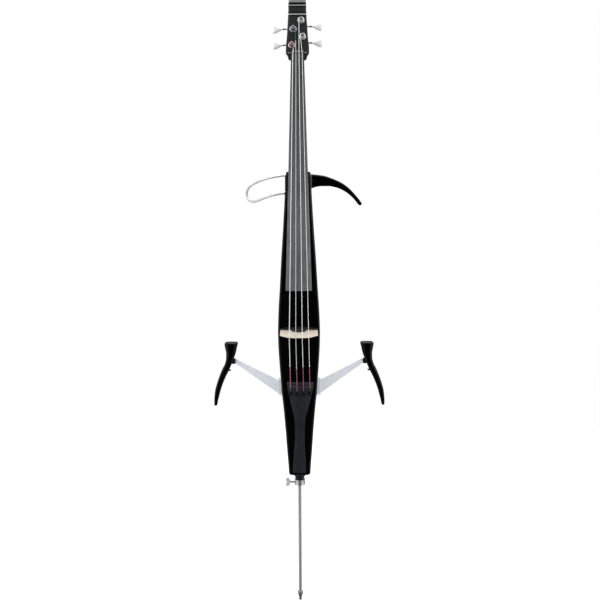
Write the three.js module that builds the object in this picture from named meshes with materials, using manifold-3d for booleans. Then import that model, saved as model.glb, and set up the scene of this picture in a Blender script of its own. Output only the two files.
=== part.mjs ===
// A full-size electric cello: a slim black body with a long neck, a rod loop and a horn in place
// of the upper bouts, and two knee pads on hinged arms in place of the lower ones.
// Lengths are millimetres. The origin is the endpin's tip on the floor, +Z runs up the instrument,
// +X is right as the audience sees it, and the front with the strings faces -Y.
import * as THREE from 'three';
import { mergeVertices } from 'three/addons/utils/BufferGeometryUtils.js';
import Module from 'manifold-3d';

const wasm = await Module();
wasm.setup();

// Driving dimensions of the whole instrument
const stringLength = 690;
const bodyLength = 755.2;
const bodyHalfWidth = 51.9;
const bodyFrontDepth = 26;
const bodyBackDepth = 32;
const endpinReach = 298;
const bridgeHeight = 89.6;
const bridgeRise = 360.5;
const stringLean = THREE.MathUtils.degToRad(8.58);
const headLean = THREE.MathUtils.degToRad(13.2);

// Fits shared by the pieces
const seatGap = 0.3;
const turnGap = 0.3;
const cutOverrun = 5;
const weldDistance = 0.0001;
const stringSpacingAtNut = 7.5;
const stringSpacingAtBridge = 15.6;
const playingRadius = 60;

// Finishes, as colour, roughness and metalness
const finishes = {
  glossBlack: [0x0b0b0c, 0.18, 0],
  satinBlack: [0x161617, 0.45, 0],
  tailGrey: [0x2b2d30, 0.5, 0],
  fingerboardGrey: [0x5b5d60, 0.42, 0],
  maple: [0xe8d6b4, 0.55, 0],
  chrome: [0xd9dbde, 0.12, 1],
  steel: [0xb9bcc0, 0.3, 1],
  aluminium: [0xcdd4e0, 0.4, 0.6],
  wire: [0xd5d7da, 0.25, 1],
  rubber: [0x1a1a1a, 0.85, 0],
  plastic: [0x1b1b1d, 0.6, 0],
  board: [0x1f5d38, 0.6, 0],
  cell: [0x50565e, 0.45, 0.2],
};

// Helpers for geometry

function at(x, y, z) {
  return new THREE.Vector3(x, y, z);
}

// Welds a geometry's corners, drops empty triangles and turns its faces outwards.
function closed(geometry) {
  const bare = geometry.clone();
  bare.deleteAttribute('normal');
  bare.deleteAttribute('uv');
  const welded = mergeVertices(bare, weldDistance);
  const corners = welded.index.array;
  const kept = [];
  const a = new THREE.Vector3();
  const b = new THREE.Vector3();
  const c = new THREE.Vector3();
  let volume = 0;
  for (let i = 0; i < corners.length; i += 3) {
    const [p, q, r] = [corners[i], corners[i + 1], corners[i + 2]];
    if (p === q || q === r || r === p) continue;
    kept.push([p, q, r]);
    a.fromBufferAttribute(welded.attributes.position, p);
    b.fromBufferAttribute(welded.attributes.position, q);
    c.fromBufferAttribute(welded.attributes.position, r);
    volume += a.dot(b.cross(c));
  }
  welded.setIndex(kept.flatMap(([p, q, r]) => (volume < 0 ? [p, r, q] : [p, q, r])));
  return welded;
}

function solid(geometry) {
  const shell = closed(geometry);
  return new wasm.Manifold(new wasm.Mesh({
    numProp: 3,
    vertProperties: new Float32Array(shell.attributes.position.array),
    triVerts: new Uint32Array(shell.index.array),
  }));
}

function skin(manifold) {
  const mesh = manifold.getMesh();
  const geometry = new THREE.BufferGeometry();
  geometry.setAttribute('position', new THREE.BufferAttribute(new Float32Array(mesh.vertProperties), 3));
  geometry.setIndex(new THREE.BufferAttribute(new Uint32Array(mesh.triVerts), 1));
  return geometry;
}

function joined(...geometries) {
  return skin(geometries.map(solid).reduce((whole, next) => whole.add(next)));
}

function cut(geometry, ...cutters) {
  return skin(cutters.map(solid).reduce((whole, next) => whole.subtract(next), solid(geometry)));
}

function common(first, second) {
  return skin(solid(first).intersect(solid(second)));
}

// A closed skin over rings of points, with a fan round each end ring's centre.
function loft(rings) {
  const sides = rings[0].length;
  const centres = [rings[0], rings[rings.length - 1]].map((ring) => {
    const centre = new THREE.Vector3();
    ring.forEach((point) => centre.add(point));
    return centre.divideScalar(sides);
  });
  const points = [...rings.flat(), ...centres];
  const triangles = [];
  for (let i = 0; i < rings.length - 1; i += 1) {
    for (let j = 0; j < sides; j += 1) {
      const next = (j + 1) % sides;
      const [p, q] = [i * sides + j, i * sides + next];
      triangles.push(p, q, q + sides, p, q + sides, p + sides);
    }
  }
  const last = (rings.length - 1) * sides;
  const first = rings.length * sides;
  for (let j = 0; j < sides; j += 1) {
    const next = (j + 1) % sides;
    triangles.push(first, next, j, first + 1, last + j, last + next);
  }
  const geometry = new THREE.BufferGeometry().setFromPoints(points);
  geometry.setIndex(triangles);
  return closed(geometry);
}

// A round bar along a list of points, its section carried along without twist.
function bar(points, radius, sides) {
  const ahead = points.map((point, i) => {
    const from = points[Math.max(i - 1, 0)];
    const to = points[Math.min(i + 1, points.length - 1)];
    return to.clone().sub(from).normalize();
  });
  const start = Math.abs(ahead[0].y) < Math.SQRT1_2 ? at(0, 1, 0) : at(1, 0, 0);
  const side = start.sub(ahead[0].clone().multiplyScalar(start.dot(ahead[0]))).normalize();
  const turn = new THREE.Quaternion();
  const rings = points.map((point, i) => {
    if (i > 0) {
      turn.setFromUnitVectors(ahead[i - 1], ahead[i]);
      side.applyQuaternion(turn);
    }
    const over = ahead[i].clone().cross(side);
    return Array.from({ length: sides }, (_, j) => {
      const angle = (2 * Math.PI * j) / sides;
      return point.clone()
        .addScaledVector(side, radius * Math.cos(angle))
        .addScaledVector(over, radius * Math.sin(angle));
    });
  });
  return loft(rings);
}

// A turned piece about +Z from pairs of radius and height.
function turned(profile, sides) {
  const points = profile.map(([radius, height]) => new THREE.Vector2(radius, height));
  return closed(new THREE.LatheGeometry(points, sides)).rotateX(Math.PI / 2);
}

function rod(radius, low, high, sides) {
  return turned([[0, low], [radius, low], [radius, high], [0, high]], sides);
}

// Turns a piece made about +Z so that its axis points to the front, along -Y.
function facingFront(geometry) {
  return geometry.rotateX(Math.PI / 2);
}

// Turns a piece made about +Z so that its axis points along +X, or along -X for side -1.
function facingSide(geometry, side) {
  return geometry.rotateY((side * Math.PI) / 2);
}

function block(low, high) {
  const size = high.clone().sub(low);
  const middle = high.clone().add(low).divideScalar(2);
  return new THREE.BoxGeometry(size.x, size.y, size.z).translate(middle.x, middle.y, middle.z);
}

function outlineShape(outline, holes = []) {
  const shape = new THREE.Shape(outline.map(([x, y]) => new THREE.Vector2(x, y)));
  holes.forEach((hole) => {
    shape.holes.push(new THREE.Path(hole.map(([x, y]) => new THREE.Vector2(x, y))));
  });
  return shape;
}

// A plate whose outline is seen from the front, as pairs of x and z, between two depths.
function frontPlate(outline, near, far, holes = []) {
  const plate = new THREE.ExtrudeGeometry(outlineShape(outline, holes), {
    depth: far - near,
    bevelEnabled: false,
  });
  return plate.rotateX(Math.PI / 2).translate(0, far, 0);
}

// A bar across the instrument whose outline is seen from the side, as pairs of y and z.
function sideBar(outline, left, right) {
  const plate = new THREE.ExtrudeGeometry(outlineShape(outline), {
    depth: right - left,
    bevelEnabled: false,
  });
  plate.applyMatrix4(new THREE.Matrix4().makeBasis(at(0, 1, 0), at(0, 0, 1), at(1, 0, 0)));
  return plate.translate(left, 0, 0);
}

// Points on an ellipse, anticlockwise from the first angle.
function ovalPoints(centre, half, sides) {
  return Array.from({ length: sides }, (_, i) => {
    const angle = (2 * Math.PI * i) / sides;
    return [centre[0] + half[0] * Math.cos(angle), centre[1] + half[1] * Math.sin(angle)];
  });
}

function lerp(from, to, share) {
  return from + (to - from) * share;
}

function piece(parent, name, geometry, finish) {
  const [color, roughness, metalness] = finishes[finish];
  const shape = closed(geometry);
  shape.computeVertexNormals();
  const material = new THREE.MeshStandardMaterial({ color, roughness, metalness });
  const mesh = new THREE.Mesh(shape, material);
  mesh.name = name;
  parent.add(mesh);
  return mesh;
}

const cello = new THREE.Group();

// Heights and depths that the pieces share
const clampHeight = 13.7;
const socketHeight = 15.5;
const bodyBottom = endpinReach + clampHeight + socketHeight;
const bodyTop = bodyBottom + bodyLength;
const pickupThickness = 2.1;
const pickupFront = bodyFrontDepth + seatGap + pickupThickness;
const crownDepth = pickupFront + seatGap + bridgeHeight;
const crownHeight = bodyBottom + bridgeRise;
const nutHeight = crownHeight + stringLength * Math.cos(stringLean);
const nutFront = stringLength * Math.sin(stringLean) - crownDepth;
const nutLength = 5;
const halfShare = 0.5;

// Depth of the line from the bridge's crown to the nut's top, at a height.
function playingLine(height) {
  return nutFront - (nutHeight - height) * Math.tan(stringLean);
}

// How far the arched playing surface falls back at a distance from the middle.
function archFall(x) {
  return (x * x) / (2 * playingRadius);
}

// The fingerboard's surface and underside
const fingerboardLength = 572;
const fingerboardHalfAtNut = 15.7;
const fingerboardHalfAtEnd = 31.8;
const stringRiseAtNut = 1;
const stringRiseAtEnd = 6;
const fingerboardThickAtNut = 8;
const fingerboardThickAtEnd = 14.5;
const fingerboardTop = nutHeight - seatGap;
const fingerboardEnd = fingerboardTop - fingerboardLength;

function fingerboardShare(height) {
  return (fingerboardTop - height) / fingerboardLength;
}

function fingerboardHalf(height) {
  return lerp(fingerboardHalfAtNut, fingerboardHalfAtEnd, fingerboardShare(height));
}

function fingerboardFront(height) {
  return playingLine(height) + lerp(stringRiseAtNut, stringRiseAtEnd, fingerboardShare(height));
}

function fingerboardUnder(height) {
  const top = fingerboardFront(fingerboardTop) + fingerboardThickAtNut;
  const end = fingerboardFront(fingerboardEnd) + fingerboardThickAtEnd;
  return lerp(top, end, fingerboardShare(height));
}

// Body: height up the body, half width, front depth and back depth, each as a share of its size
const bodyShares = [
  [0, 0.42, 0.86, 0.48],
  [0.0028, 0.485, 0.95, 0.56],
  [0.0075, 0.515, 1, 0.62],
  [0.0215, 0.527, 1, 0.66],
  [0.0774, 0.588, 1, 0.78],
  [0.1581, 0.674, 1, 0.89],
  [0.2384, 0.775, 1, 0.97],
  [0.2786, 0.842, 1, 1],
  [0.3186, 0.882, 1, 1],
  [0.3983, 0.96, 1, 1],
  [0.4382, 0.99, 1, 1],
  [0.4777, 1, 1, 1],
  [0.5569, 0.9615, 1, 1],
  [0.6162, 0.906, 1, 1],
  [0.7143, 0.825, 1, 0.96],
  [0.8121, 0.732, 1, 0.9],
  [0.89, 0.665, 1, 0.84],
  [0.9482, 0.626, 1, 0.79],
  [0.9751, 0.624, 1, 0.77],
  [0.9935, 0.6, 0.98, 0.75],
  [1, 0.555, 0.9, 0.68],
];
const frontCornerRadius = 5;
const backCornerWidth = 14;
const backCornerDepth = 24;
const frontCornerSteps = 2;
const backCornerSteps = 4;

function bodyHalfAt(height) {
  const share = (height - bodyBottom) / bodyLength;
  const above = bodyShares.findIndex((row) => row[0] >= share);
  const [low, high] = [bodyShares[above - 1], bodyShares[above]];
  return bodyHalfWidth * lerp(low[1], high[1], (share - low[0]) / (high[0] - low[0]));
}

function bodyRing([heightShare, widthShare, frontShare, backShare]) {
  const height = bodyBottom + bodyLength * heightShare;
  const half = bodyHalfWidth * widthShare;
  const front = -bodyFrontDepth * frontShare;
  const back = bodyBackDepth * backShare;
  const right = [];
  for (let i = 0; i <= frontCornerSteps; i += 1) {
    const angle = (Math.PI / 2) * (i / frontCornerSteps);
    right.push([
      half - frontCornerRadius * (1 - Math.sin(angle)),
      front + frontCornerRadius * (1 - Math.cos(angle)),
    ]);
  }
  const depth = Math.min(backCornerDepth, back - front - frontCornerRadius * 2);
  for (let i = 0; i <= backCornerSteps; i += 1) {
    const angle = (Math.PI / 2) * (i / backCornerSteps);
    right.push([
      half - backCornerWidth * (1 - Math.cos(angle)),
      back - depth * (1 - Math.sin(angle)),
    ]);
  }
  const left = right.map(([x, y]) => [-x, y]).reverse();
  return [...right, ...left].map(([x, y]) => at(x, y, height));
}

// Neck foot and the mortise that takes it
const neckFootHalf = 19;
const neckFootBack = 4;
const neckFootDrop = 45;

// Endpin, its socket in the body and the long bore that it slides up
const endpinRadius = 4;
const endpinBoreGap = 0.5;
const endpinLength = 440;
const endpinTravelUp = 260;
const socketRadius = 13.6;
const socketPlugRadius = 8.2;
const socketPlugLength = 36;
const tipHeight = 22.4;
const tipCupFloor = 8;
const roundSides = 18;
const smallSides = 12;

const endpinBore = endpinRadius + endpinBoreGap;
const endpinTopAtRest = tipCupFloor + seatGap + endpinLength;
const boreTop = endpinTopAtRest + endpinTravelUp + cutOverrun;

// Rod loop: where its two legs enter the body's left side
const loopRadius = 3;
const loopDepth = 12.5;
const loopUpperDrop = 9.1;
const loopLowerDrop = 52.3;
const loopUpperHeight = bodyTop - loopUpperDrop;
const loopLowerHeight = bodyTop - loopLowerDrop;
const loopLegLength = 44;

// Controls compartment in the back
const coverHalfWidth = 30;
const coverShare = 0.3554;
const coverLength = 190;
const coverLow = bodyBottom + bodyLength * coverShare;
const coverHigh = coverLow + coverLength;
const coverThickness = 2.5;
const compartmentFloor = 8;
const compartmentRim = 4;

function makeBody() {
  const outer = loft(bodyShares.map(bodyRing));
  const bore = rod(endpinBore, bodyBottom - cutOverrun, boreTop, roundSides);
  const plugHole = rod(
    socketPlugRadius + seatGap,
    bodyBottom - cutOverrun,
    bodyBottom + socketPlugLength,
    roundSides,
  );
  const mortise = block(
    at(-neckFootHalf - seatGap, -bodyFrontDepth - cutOverrun, bodyTop - neckFootDrop - seatGap),
    at(neckFootHalf + seatGap, neckFootBack + seatGap, bodyTop + cutOverrun),
  );
  const legHoles = [loopUpperHeight, loopLowerHeight].map((height) => facingSide(
    rod(loopRadius + seatGap, seatGap - loopLegLength, bodyHalfWidth, smallSides),
    -1,
  ).translate(-bodyHalfAt(loopLowerHeight), loopDepth, height));
  const recess = block(
    at(-coverHalfWidth - seatGap, bodyBackDepth - coverThickness - seatGap, coverLow - seatGap),
    at(coverHalfWidth + seatGap, bodyBackDepth + cutOverrun, coverHigh + seatGap),
  );
  const compartment = block(
    at(compartmentRim - coverHalfWidth, compartmentFloor, coverLow + compartmentRim),
    at(coverHalfWidth - compartmentRim, bodyBackDepth, coverHigh - compartmentRim),
  );
  return cut(outer, bore, plugHole, mortise, ...legHoles, recess, compartment);
}

piece(cello, 'body_shell', makeBody(), 'glossBlack');

// Head: a slab that leans back from the nut, in its own frame with its face at depth 0
const headFaceBack = 10;
const headGroup = new THREE.Group();
headGroup.position.set(0, nutFront + headFaceBack, nutHeight);
headGroup.rotation.x = -headLean;
headGroup.updateMatrix();
cello.add(headGroup);

const headLength = 160;
const headHalfWidth = 28.4;
const headThickness = 20;

// Height up the head and half width, as shares of its length and its widest half width
const headOutlineShares = [
  [-0.092, 0.5],
  [-0.082, 0.72],
  [-0.064, 0.79],
  [-0.033, 0.82],
  [-0.005, 0.89],
  [0.014, 0.985],
  [0.06, 1],
  [0.12, 0.985],
  [0.24, 0.912],
  [0.45, 0.835],
  [0.64, 0.771],
  [0.74, 0.753],
  [0.85, 0.71],
  [0.95, 0.66],
  [1.02, 0.63],
];

// Side outline of the head: depth and height, as shares of its thickness and its length
const headSideShares = [
  [0.4, -0.105],
  [0.18, -0.094],
  [0.08, -0.07],
  [0, 0],
  [0, 0.62],
  [-0.2, 0.633],
  [-0.25, 0.735],
  [-0.4, 0.75],
  [-0.475, 0.84],
  [-0.38, 0.93],
  [-0.05, 0.985],
  [0.4, 1],
  [0.78, 0.955],
  [0.93, 0.86],
  [0.86, 0.75],
  [0.86, 0.62],
  [1, 0.2],
  [1, -0.05],
  [0.75, -0.105],
];

// Neck from the nut to the body: share of its length, depth of its back behind the fingerboard
const neckDepthAtNut = 20.5;
const neckDepthAtHeel = 58;
const neckInset = 0.6;
const neckStationShares = [
  [0, 0],
  [0.06, 0],
  [0.45, 0.01],
  [0.72, 0.02],
  [0.82, 0.06],
  [0.89, 0.2],
  [0.94, 0.42],
  [0.975, 0.7],
  [1, 1],
];
const neckHeelHalfShare = 0.9;
const neckBackSteps = 12;
const neckFullness = 0.75;
const neckIntoHead = 4;

function neckRing([share, depthShare]) {
  const height = lerp(nutHeight + neckIntoHead, bodyTop + seatGap, share);
  const half = (fingerboardHalf(height) - neckInset) * lerp(1, neckHeelHalfShare, depthShare);
  const front = fingerboardUnder(height) + seatGap;
  const depth = lerp(neckDepthAtNut, neckDepthAtHeel, depthShare);
  return Array.from({ length: neckBackSteps + 1 }, (_, i) => {
    const angle = (Math.PI * i) / neckBackSteps;
    return at(
      half * Math.cos(angle),
      front + depth * Math.sin(angle) ** neckFullness,
      height,
    );
  });
}

// Tuning posts: side of the head, distance from the middle and height up the head
const postRadius = 4.7;
const postWaist = 4.2;
const postReach = 15;
const hubRadius = 2.9;
const hubReach = 0.8;
const waistSlope = 1.2;
const capHeight = 1.6;
const capTopShare = 0.9;
const bushingSleeve = 6;
const bushingFlange = 8.5;
const bushingLift = 3;
const bushingDepth = 9;
const bushingRimShare = 0.6;
const bushingTopShare = 0.85;
const waistStart = bushingLift + waistSlope * 2;
const strings = [
  { name: 'c', side: -1, postX: 13.9, postHeight: 20, diameter: 1.8, turns: 1.5, lane: -1.5 },
  { name: 'g', side: -1, postX: 10.4, postHeight: 60.4, diameter: 1.4, turns: 1.75, lane: -0.5 },
  { name: 'd', side: 1, postX: 9.1, postHeight: 82.6, diameter: 1.2, turns: 2, lane: 0.5 },
  { name: 'a', side: 1, postX: 12.4, postHeight: 41.3, diameter: 1, turns: 2.25, lane: 1.5 },
];

function makeNeck() {
  const front = headOutlineShares.map(([height, half]) => [half * headHalfWidth, height * headLength]);
  const back = front.map(([x, z]) => [-x, z]).reverse();
  const facing = frontPlate([...front, ...back], -headThickness, headThickness * 2);
  const profile = headSideShares.map(([depth, height]) => [depth * headThickness, height * headLength]);
  const across = sideBar(profile, -headHalfWidth - cutOverrun, headHalfWidth + cutOverrun);
  const postHoles = strings.map(({ side, postX, postHeight }) => facingFront(
    rod(bushingSleeve + seatGap, -headThickness - cutOverrun, cutOverrun, roundSides),
  ).translate(side * postX, 0, postHeight));
  const head = cut(common(facing, across), ...postHoles).applyMatrix4(headGroup.matrix);
  const handle = loft(neckStationShares.map(neckRing));
  const footLow = bodyTop - neckFootDrop;
  const footHigh = bodyTop + cutOverrun;
  const foot = sideBar([
    [fingerboardUnder(footLow) + seatGap, footLow],
    [neckFootBack, footLow],
    [neckFootBack, footHigh],
    [fingerboardUnder(footHigh) + seatGap, footHigh],
  ], -neckFootHalf, neckFootHalf);
  return joined(head, handle, foot);
}

piece(cello, 'neck', makeNeck(), 'satinBlack');

// Fingerboard and nut
const archSteps = 10;
const nutEdgeInset = 0.4;
const nutBreak = THREE.MathUtils.degToRad(7);

function fingerboardRing(height) {
  const half = fingerboardHalf(height);
  const surface = Array.from({ length: archSteps + 1 }, (_, i) => {
    const x = lerp(-half, half, i / archSteps);
    return at(x, fingerboardFront(height) + archFall(x), height);
  });
  const under = fingerboardUnder(height);
  return [...surface, at(half, under, height), at(-half, under, height)];
}

const fingerboardStations = 4;
const fingerboardHeights = Array.from(
  { length: fingerboardStations + 1 },
  (_, i) => lerp(fingerboardTop, fingerboardEnd, i / fingerboardStations),
);
piece(cello, 'fingerboard', loft(fingerboardHeights.map(fingerboardRing)), 'fingerboardGrey');

const nutSeatShare = 0.09;

function nutRing(share) {
  const height = nutHeight + nutLength * share;
  const half = fingerboardHalfAtNut - nutEdgeInset;
  const drop = nutLength * share * Math.tan(headLean + nutBreak);
  const top = Array.from({ length: archSteps + 1 }, (_, i) => {
    const x = lerp(-half, half, i / archSteps);
    return at(x, nutFront + archFall(x) + drop, height);
  });
  const seat = nutFront + headFaceBack * (1 - nutSeatShare) - seatGap;
  return [...top, at(half, seat, height), at(-half, seat, height)];
}

piece(cello, 'nut', loft([0, 1].map(nutRing)), 'satinBlack');

// Bridge with its feet on the pickup's base plate
const bridgeHalfWidth = 46;
const bridgeFootThickness = 7.4;
const bridgeCrownThickness = 2.6;
const bridgeTailFace = crownHeight - bridgeCrownThickness * halfShare;
const bridgeEdgeShares = [
  [0.4, 0],
  [1, 0],
  [1, 0.045],
  [0.95, 0.09],
  [0.93, 0.24],
  [0.96, 0.4],
  [1, 0.47],
  [1, 0.535],
  [0.93, 0.61],
  [0.8, 0.72],
  [0.67, 0.84],
];
const bridgeArchHalfShare = 0.4;
const bridgeArchRiseShare = 0.32;
const bridgeCrownHalfShare = 0.6;
const bridgeCrownSteps = 6;
const bridgeArchSteps = 10;
const bridgeHeartShare = 0.62;
const bridgeArchFullness = 0.8;
const bridgeHeartHalf = [5.5, 5];
const bridgeEyeShares = [0.55, 0.42];
const bridgeEyeHalf = [5.5, 8.5];
const bridgeHoleSides = 12;

function makeBridge() {
  const right = bridgeEdgeShares.map(([x, z]) => [x * bridgeHalfWidth, z * bridgeHeight]);
  const left = right.map(([x, z]) => [-x, z]).reverse();
  const crownHalf = bridgeCrownHalfShare * bridgeHalfWidth;
  const crown = Array.from({ length: bridgeCrownSteps + 1 }, (_, i) => {
    const x = lerp(crownHalf, -crownHalf, i / bridgeCrownSteps);
    return [x, bridgeHeight - archFall(x)];
  });
  const arch = Array.from({ length: bridgeArchSteps - 1 }, (_, i) => {
    const angle = (Math.PI * (i + 1)) / bridgeArchSteps;
    return [
      -bridgeArchHalfShare * bridgeHalfWidth * Math.cos(angle),
      bridgeArchRiseShare * bridgeHeight * Math.sin(angle) ** bridgeArchFullness,
    ];
  });
  const holes = [
    ovalPoints([0, bridgeHeartShare * bridgeHeight], bridgeHeartHalf, bridgeHoleSides),
    ...[-1, 1].map((side) => ovalPoints(
      [side * bridgeEyeShares[0] * bridgeHalfWidth, bridgeEyeShares[1] * bridgeHeight],
      bridgeEyeHalf,
      bridgeHoleSides,
    )),
  ];
  const outline = outlineShape([...right, ...crown, ...left, ...arch], holes);
  const bridge = new THREE.ExtrudeGeometry(outline, { depth: 1, bevelEnabled: false });
  const places = bridge.attributes.position;
  for (let i = 0; i < places.count; i += 1) {
    const height = places.getY(i);
    const share = height / bridgeHeight;
    const thickness = lerp(bridgeFootThickness, bridgeCrownThickness, share);
    places.setXYZ(
      i,
      places.getX(i),
      -pickupFront - seatGap - height,
      bridgeTailFace + places.getZ(i) * thickness,
    );
  }
  return bridge;
}

piece(cello, 'bridge', makeBridge(), 'maple');

const pickupHalfWidth = 47;
const pickupMargin = 3;
piece(cello, 'bridge_pickup', block(
  at(-pickupHalfWidth, -pickupFront, bridgeTailFace - pickupMargin),
  at(
    pickupHalfWidth,
    pickupThickness - pickupFront,
    bridgeTailFace + bridgeFootThickness + pickupMargin,
  ),
), 'plastic');

// Tailpiece, in a frame with its top edge at the origin and its front at depth 0
const tailLength = 239;
const tailBelowCrown = 116.5;
const tailBehindCrown = 28;
const tailTopHeight = crownHeight - tailBelowCrown;
const tailTopFront = crownDepth - tailBehindCrown;
const tailLean = THREE.MathUtils.degToRad(11.65);
const tailSwing = THREE.MathUtils.degToRad(0.84);
const tailShift = 2.6;
const tailHalfTop = 32.2;
const tailEdgeThickness = 5;
const tailCrownThickness = 12;
const tailGroup = new THREE.Group();
tailGroup.position.set(tailShift, -tailTopFront, tailTopHeight);
tailGroup.rotation.set(tailLean, tailSwing, 0);
tailGroup.updateMatrix();
cello.add(tailGroup);

// Distance down the tailpiece and half width, as shares of its length and its widest half width
const tailShares = [
  [0, 0.9],
  [0.012, 1],
  [0.19, 0.775],
  [0.31, 0.56],
  [0.38, 0.43],
  [0.44, 0.385],
  [0.56, 0.365],
  [0.64, 0.37],
  [0.8, 0.44],
  [0.93, 0.495],
  [0.985, 0.515],
  [1, 0.46],
];
const tailArchSteps = 6;
const saddleRise = 2;
const saddleSink = 0.05;
const saddleHalfShare = 0.9;
const saddleDropShare = 0.045;

// Saddle across the tailpiece: distance down it and rise, as shares
const saddleShares = [[0.03, 0], [saddleDropShare, 1], [0.06, 0]];

function tailRing([share, widthShare]) {
  const half = tailHalfTop * widthShare;
  const crown = tailCrownThickness * lerp(1, tailEndShare, share);
  const front = Array.from({ length: tailArchSteps + 1 }, (_, i) => {
    const x = lerp(-half, half, i / tailArchSteps);
    return at(x, archFall(x), -share * tailLength);
  });
  const under = Math.max(archFall(half) + tailEdgeThickness, crown);
  return [...front, at(half, under, -share * tailLength), at(-half, under, -share * tailLength)];
}

// Fine tuners: the lever's hook, its pin, its arm below the front and the screw that presses it
const tailStringSpacing = 15.8;
const hookDrop = 20;
const hookLength = 3;
const hookRise = 4.2;
const leverHalf = 2;
const leverGap = 0.5;
const leverPinDepth = 5.6;
const leverPinRadius = 1.3;
const leverPinReach = 4.2;
const leverArmTop = 7.2;
const leverArmThickness = 2;
const leverArmEnd = 34;
const tunerScrewDrop = 28.6;
const tunerScrewRadius = 1.5;
const tunerKnobRadius = 4;
const tunerKnobHeight = 5;
const tunerKnobLift = 2;
const knobTopShare = 0.84;
const roofDepth = 6.4;
const slotBackGap = 2.4;
const tailFootLow = 9;
const tailFootHeight = 34;
const tailFootSlope = 6;
const tailFootHalf = 12;
const tailEndShare = 0.8;

function laneX(lane) {
  return lane * tailStringSpacing;
}

// Depth of the tailpiece's front at a height.
function tailFrontAt(height) {
  return (tailTopHeight - height) * Math.tan(tailLean) - tailTopFront;
}

function makeTailpiece() {
  const slab = loft(tailShares.map(tailRing));
  const saddle = loft(saddleShares.map(([share, rise]) => tailRing([share, saddleHalfShare])
    .map((point) => at(point.x, point.y + saddleSink - saddleRise * rise, point.z))));
  const low = bodyBottom + tailFootLow;
  const high = low + tailFootHeight;
  const seat = -bodyFrontDepth - seatGap;
  const foot = sideBar([
    [tailFrontAt(low) + tailEdgeThickness, low],
    [seat, low],
    [seat, high - tailFootSlope],
    [tailFrontAt(high) + tailCrownThickness * tailEndShare, high],
  ], tailShift - tailFootHalf, tailShift + tailFootHalf).applyMatrix4(tailGroup.matrix.clone().invert());
  const cutters = strings.flatMap(({ lane }) => {
    const x = laneX(lane);
    const fall = archFall(x);
    return [
      block(
        at(x - leverHalf - leverGap, fall - cutOverrun, -hookDrop - hookLength - slotBackGap),
        at(x + leverHalf + leverGap, fall + tailCrownThickness + cutOverrun, leverGap - hookDrop),
      ),
      block(
        at(x - leverHalf - leverGap, fall + roofDepth, -leverArmEnd - leverGap),
        at(x + leverHalf + leverGap, fall + tailCrownThickness + cutOverrun, leverGap - hookDrop),
      ),
      facingFront(rod(
        tunerScrewRadius + turnGap,
        -fall - roofDepth - cutOverrun,
        cutOverrun - fall,
        smallSides,
      )).translate(x, 0, -tunerScrewDrop),
      facingSide(rod(
        leverPinRadius + turnGap,
        -leverPinReach - seatGap,
        leverPinReach + seatGap,
        smallSides,
      ), 1).translate(x, fall + leverPinDepth, -hookDrop - hookLength * halfShare),
    ];
  });
  return cut(joined(slab, saddle, foot), ...cutters);
}

piece(tailGroup, 'tailpiece', makeTailpiece(), 'tailGrey');

function makeLever(x) {
  const fall = archFall(x);
  const pinHeight = -hookDrop - hookLength * halfShare;
  const hook = block(
    at(x - leverHalf, fall - hookRise, -hookDrop - hookLength),
    at(x + leverHalf, fall + leverArmTop + leverArmThickness, -hookDrop),
  );
  const arm = block(
    at(x - leverHalf, fall + leverArmTop, -leverArmEnd),
    at(x + leverHalf, fall + leverArmTop + leverArmThickness, -hookDrop),
  );
  const pin = facingSide(rod(leverPinRadius, -leverPinReach, leverPinReach, smallSides), 1)
    .translate(x, fall + leverPinDepth, pinHeight);
  return joined(hook, arm, pin);
}

function makeTunerScrew(x) {
  const fall = archFall(x);
  const profile = [
    [0, seatGap - leverArmTop],
    [tunerScrewRadius, seatGap - leverArmTop],
    [tunerScrewRadius, tunerKnobLift],
    [tunerKnobRadius, tunerKnobLift],
    [tunerKnobRadius, tunerKnobHeight],
    [tunerKnobRadius * knobTopShare, tunerKnobHeight + tunerKnobLift],
    [0, tunerKnobHeight + tunerKnobLift],
  ];
  return facingFront(turned(profile, smallSides)).translate(x, fall, -tunerScrewDrop);
}

strings.forEach(({ name, lane }) => {
  piece(tailGroup, `fine_tuner_lever_${name}`, makeLever(laneX(lane)), 'steel');
  piece(tailGroup, `fine_tuner_screw_${name}`, makeTunerScrew(laneX(lane)), 'satinBlack');
});

// Worm tuners on the back of the head
const gearTeeth = 14;
const gearModule = 0.8;
const gearRadius = (gearTeeth * gearModule) / 2;
const gearTipShare = 0.85;
const gearRootShare = 1.05;
const gearFace = 3;
const toothShare = 0.36;
const toothBaseShare = 0.72;
const toothTipShare = 0.32;
const wormRadius = 2.3;
const wormCore = 1.45;
const threadSinkShare = 0.8;
const wormTurns = 2.5;
const wormStepsPerTurn = 10;
const wormLead = Math.PI * gearModule;
const gearDistance = gearRadius + wormRadius;
const helixAngle = Math.atan(wormLead / (2 * Math.PI * wormRadius));
const plateThickness = 2;
const gearGap = 1.8;
const gearNear = headThickness + seatGap + plateThickness + gearGap;
const gearMiddle = gearNear + gearFace * halfShare;
const shaftRadius = 2;
const shaftBore = 2.35;
const lugThickness = 3;
const lugHalf = 4;
const lugGap = 0.4;
const lugClear = 6;
const keyStart = 36;
const keyEnd = 62;
const beadPlace = 33.5;
const beadRadius = 3;
const beadLength = 1.8;
const shaftProud = 0.8;
const shoulder = 1;

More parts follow.
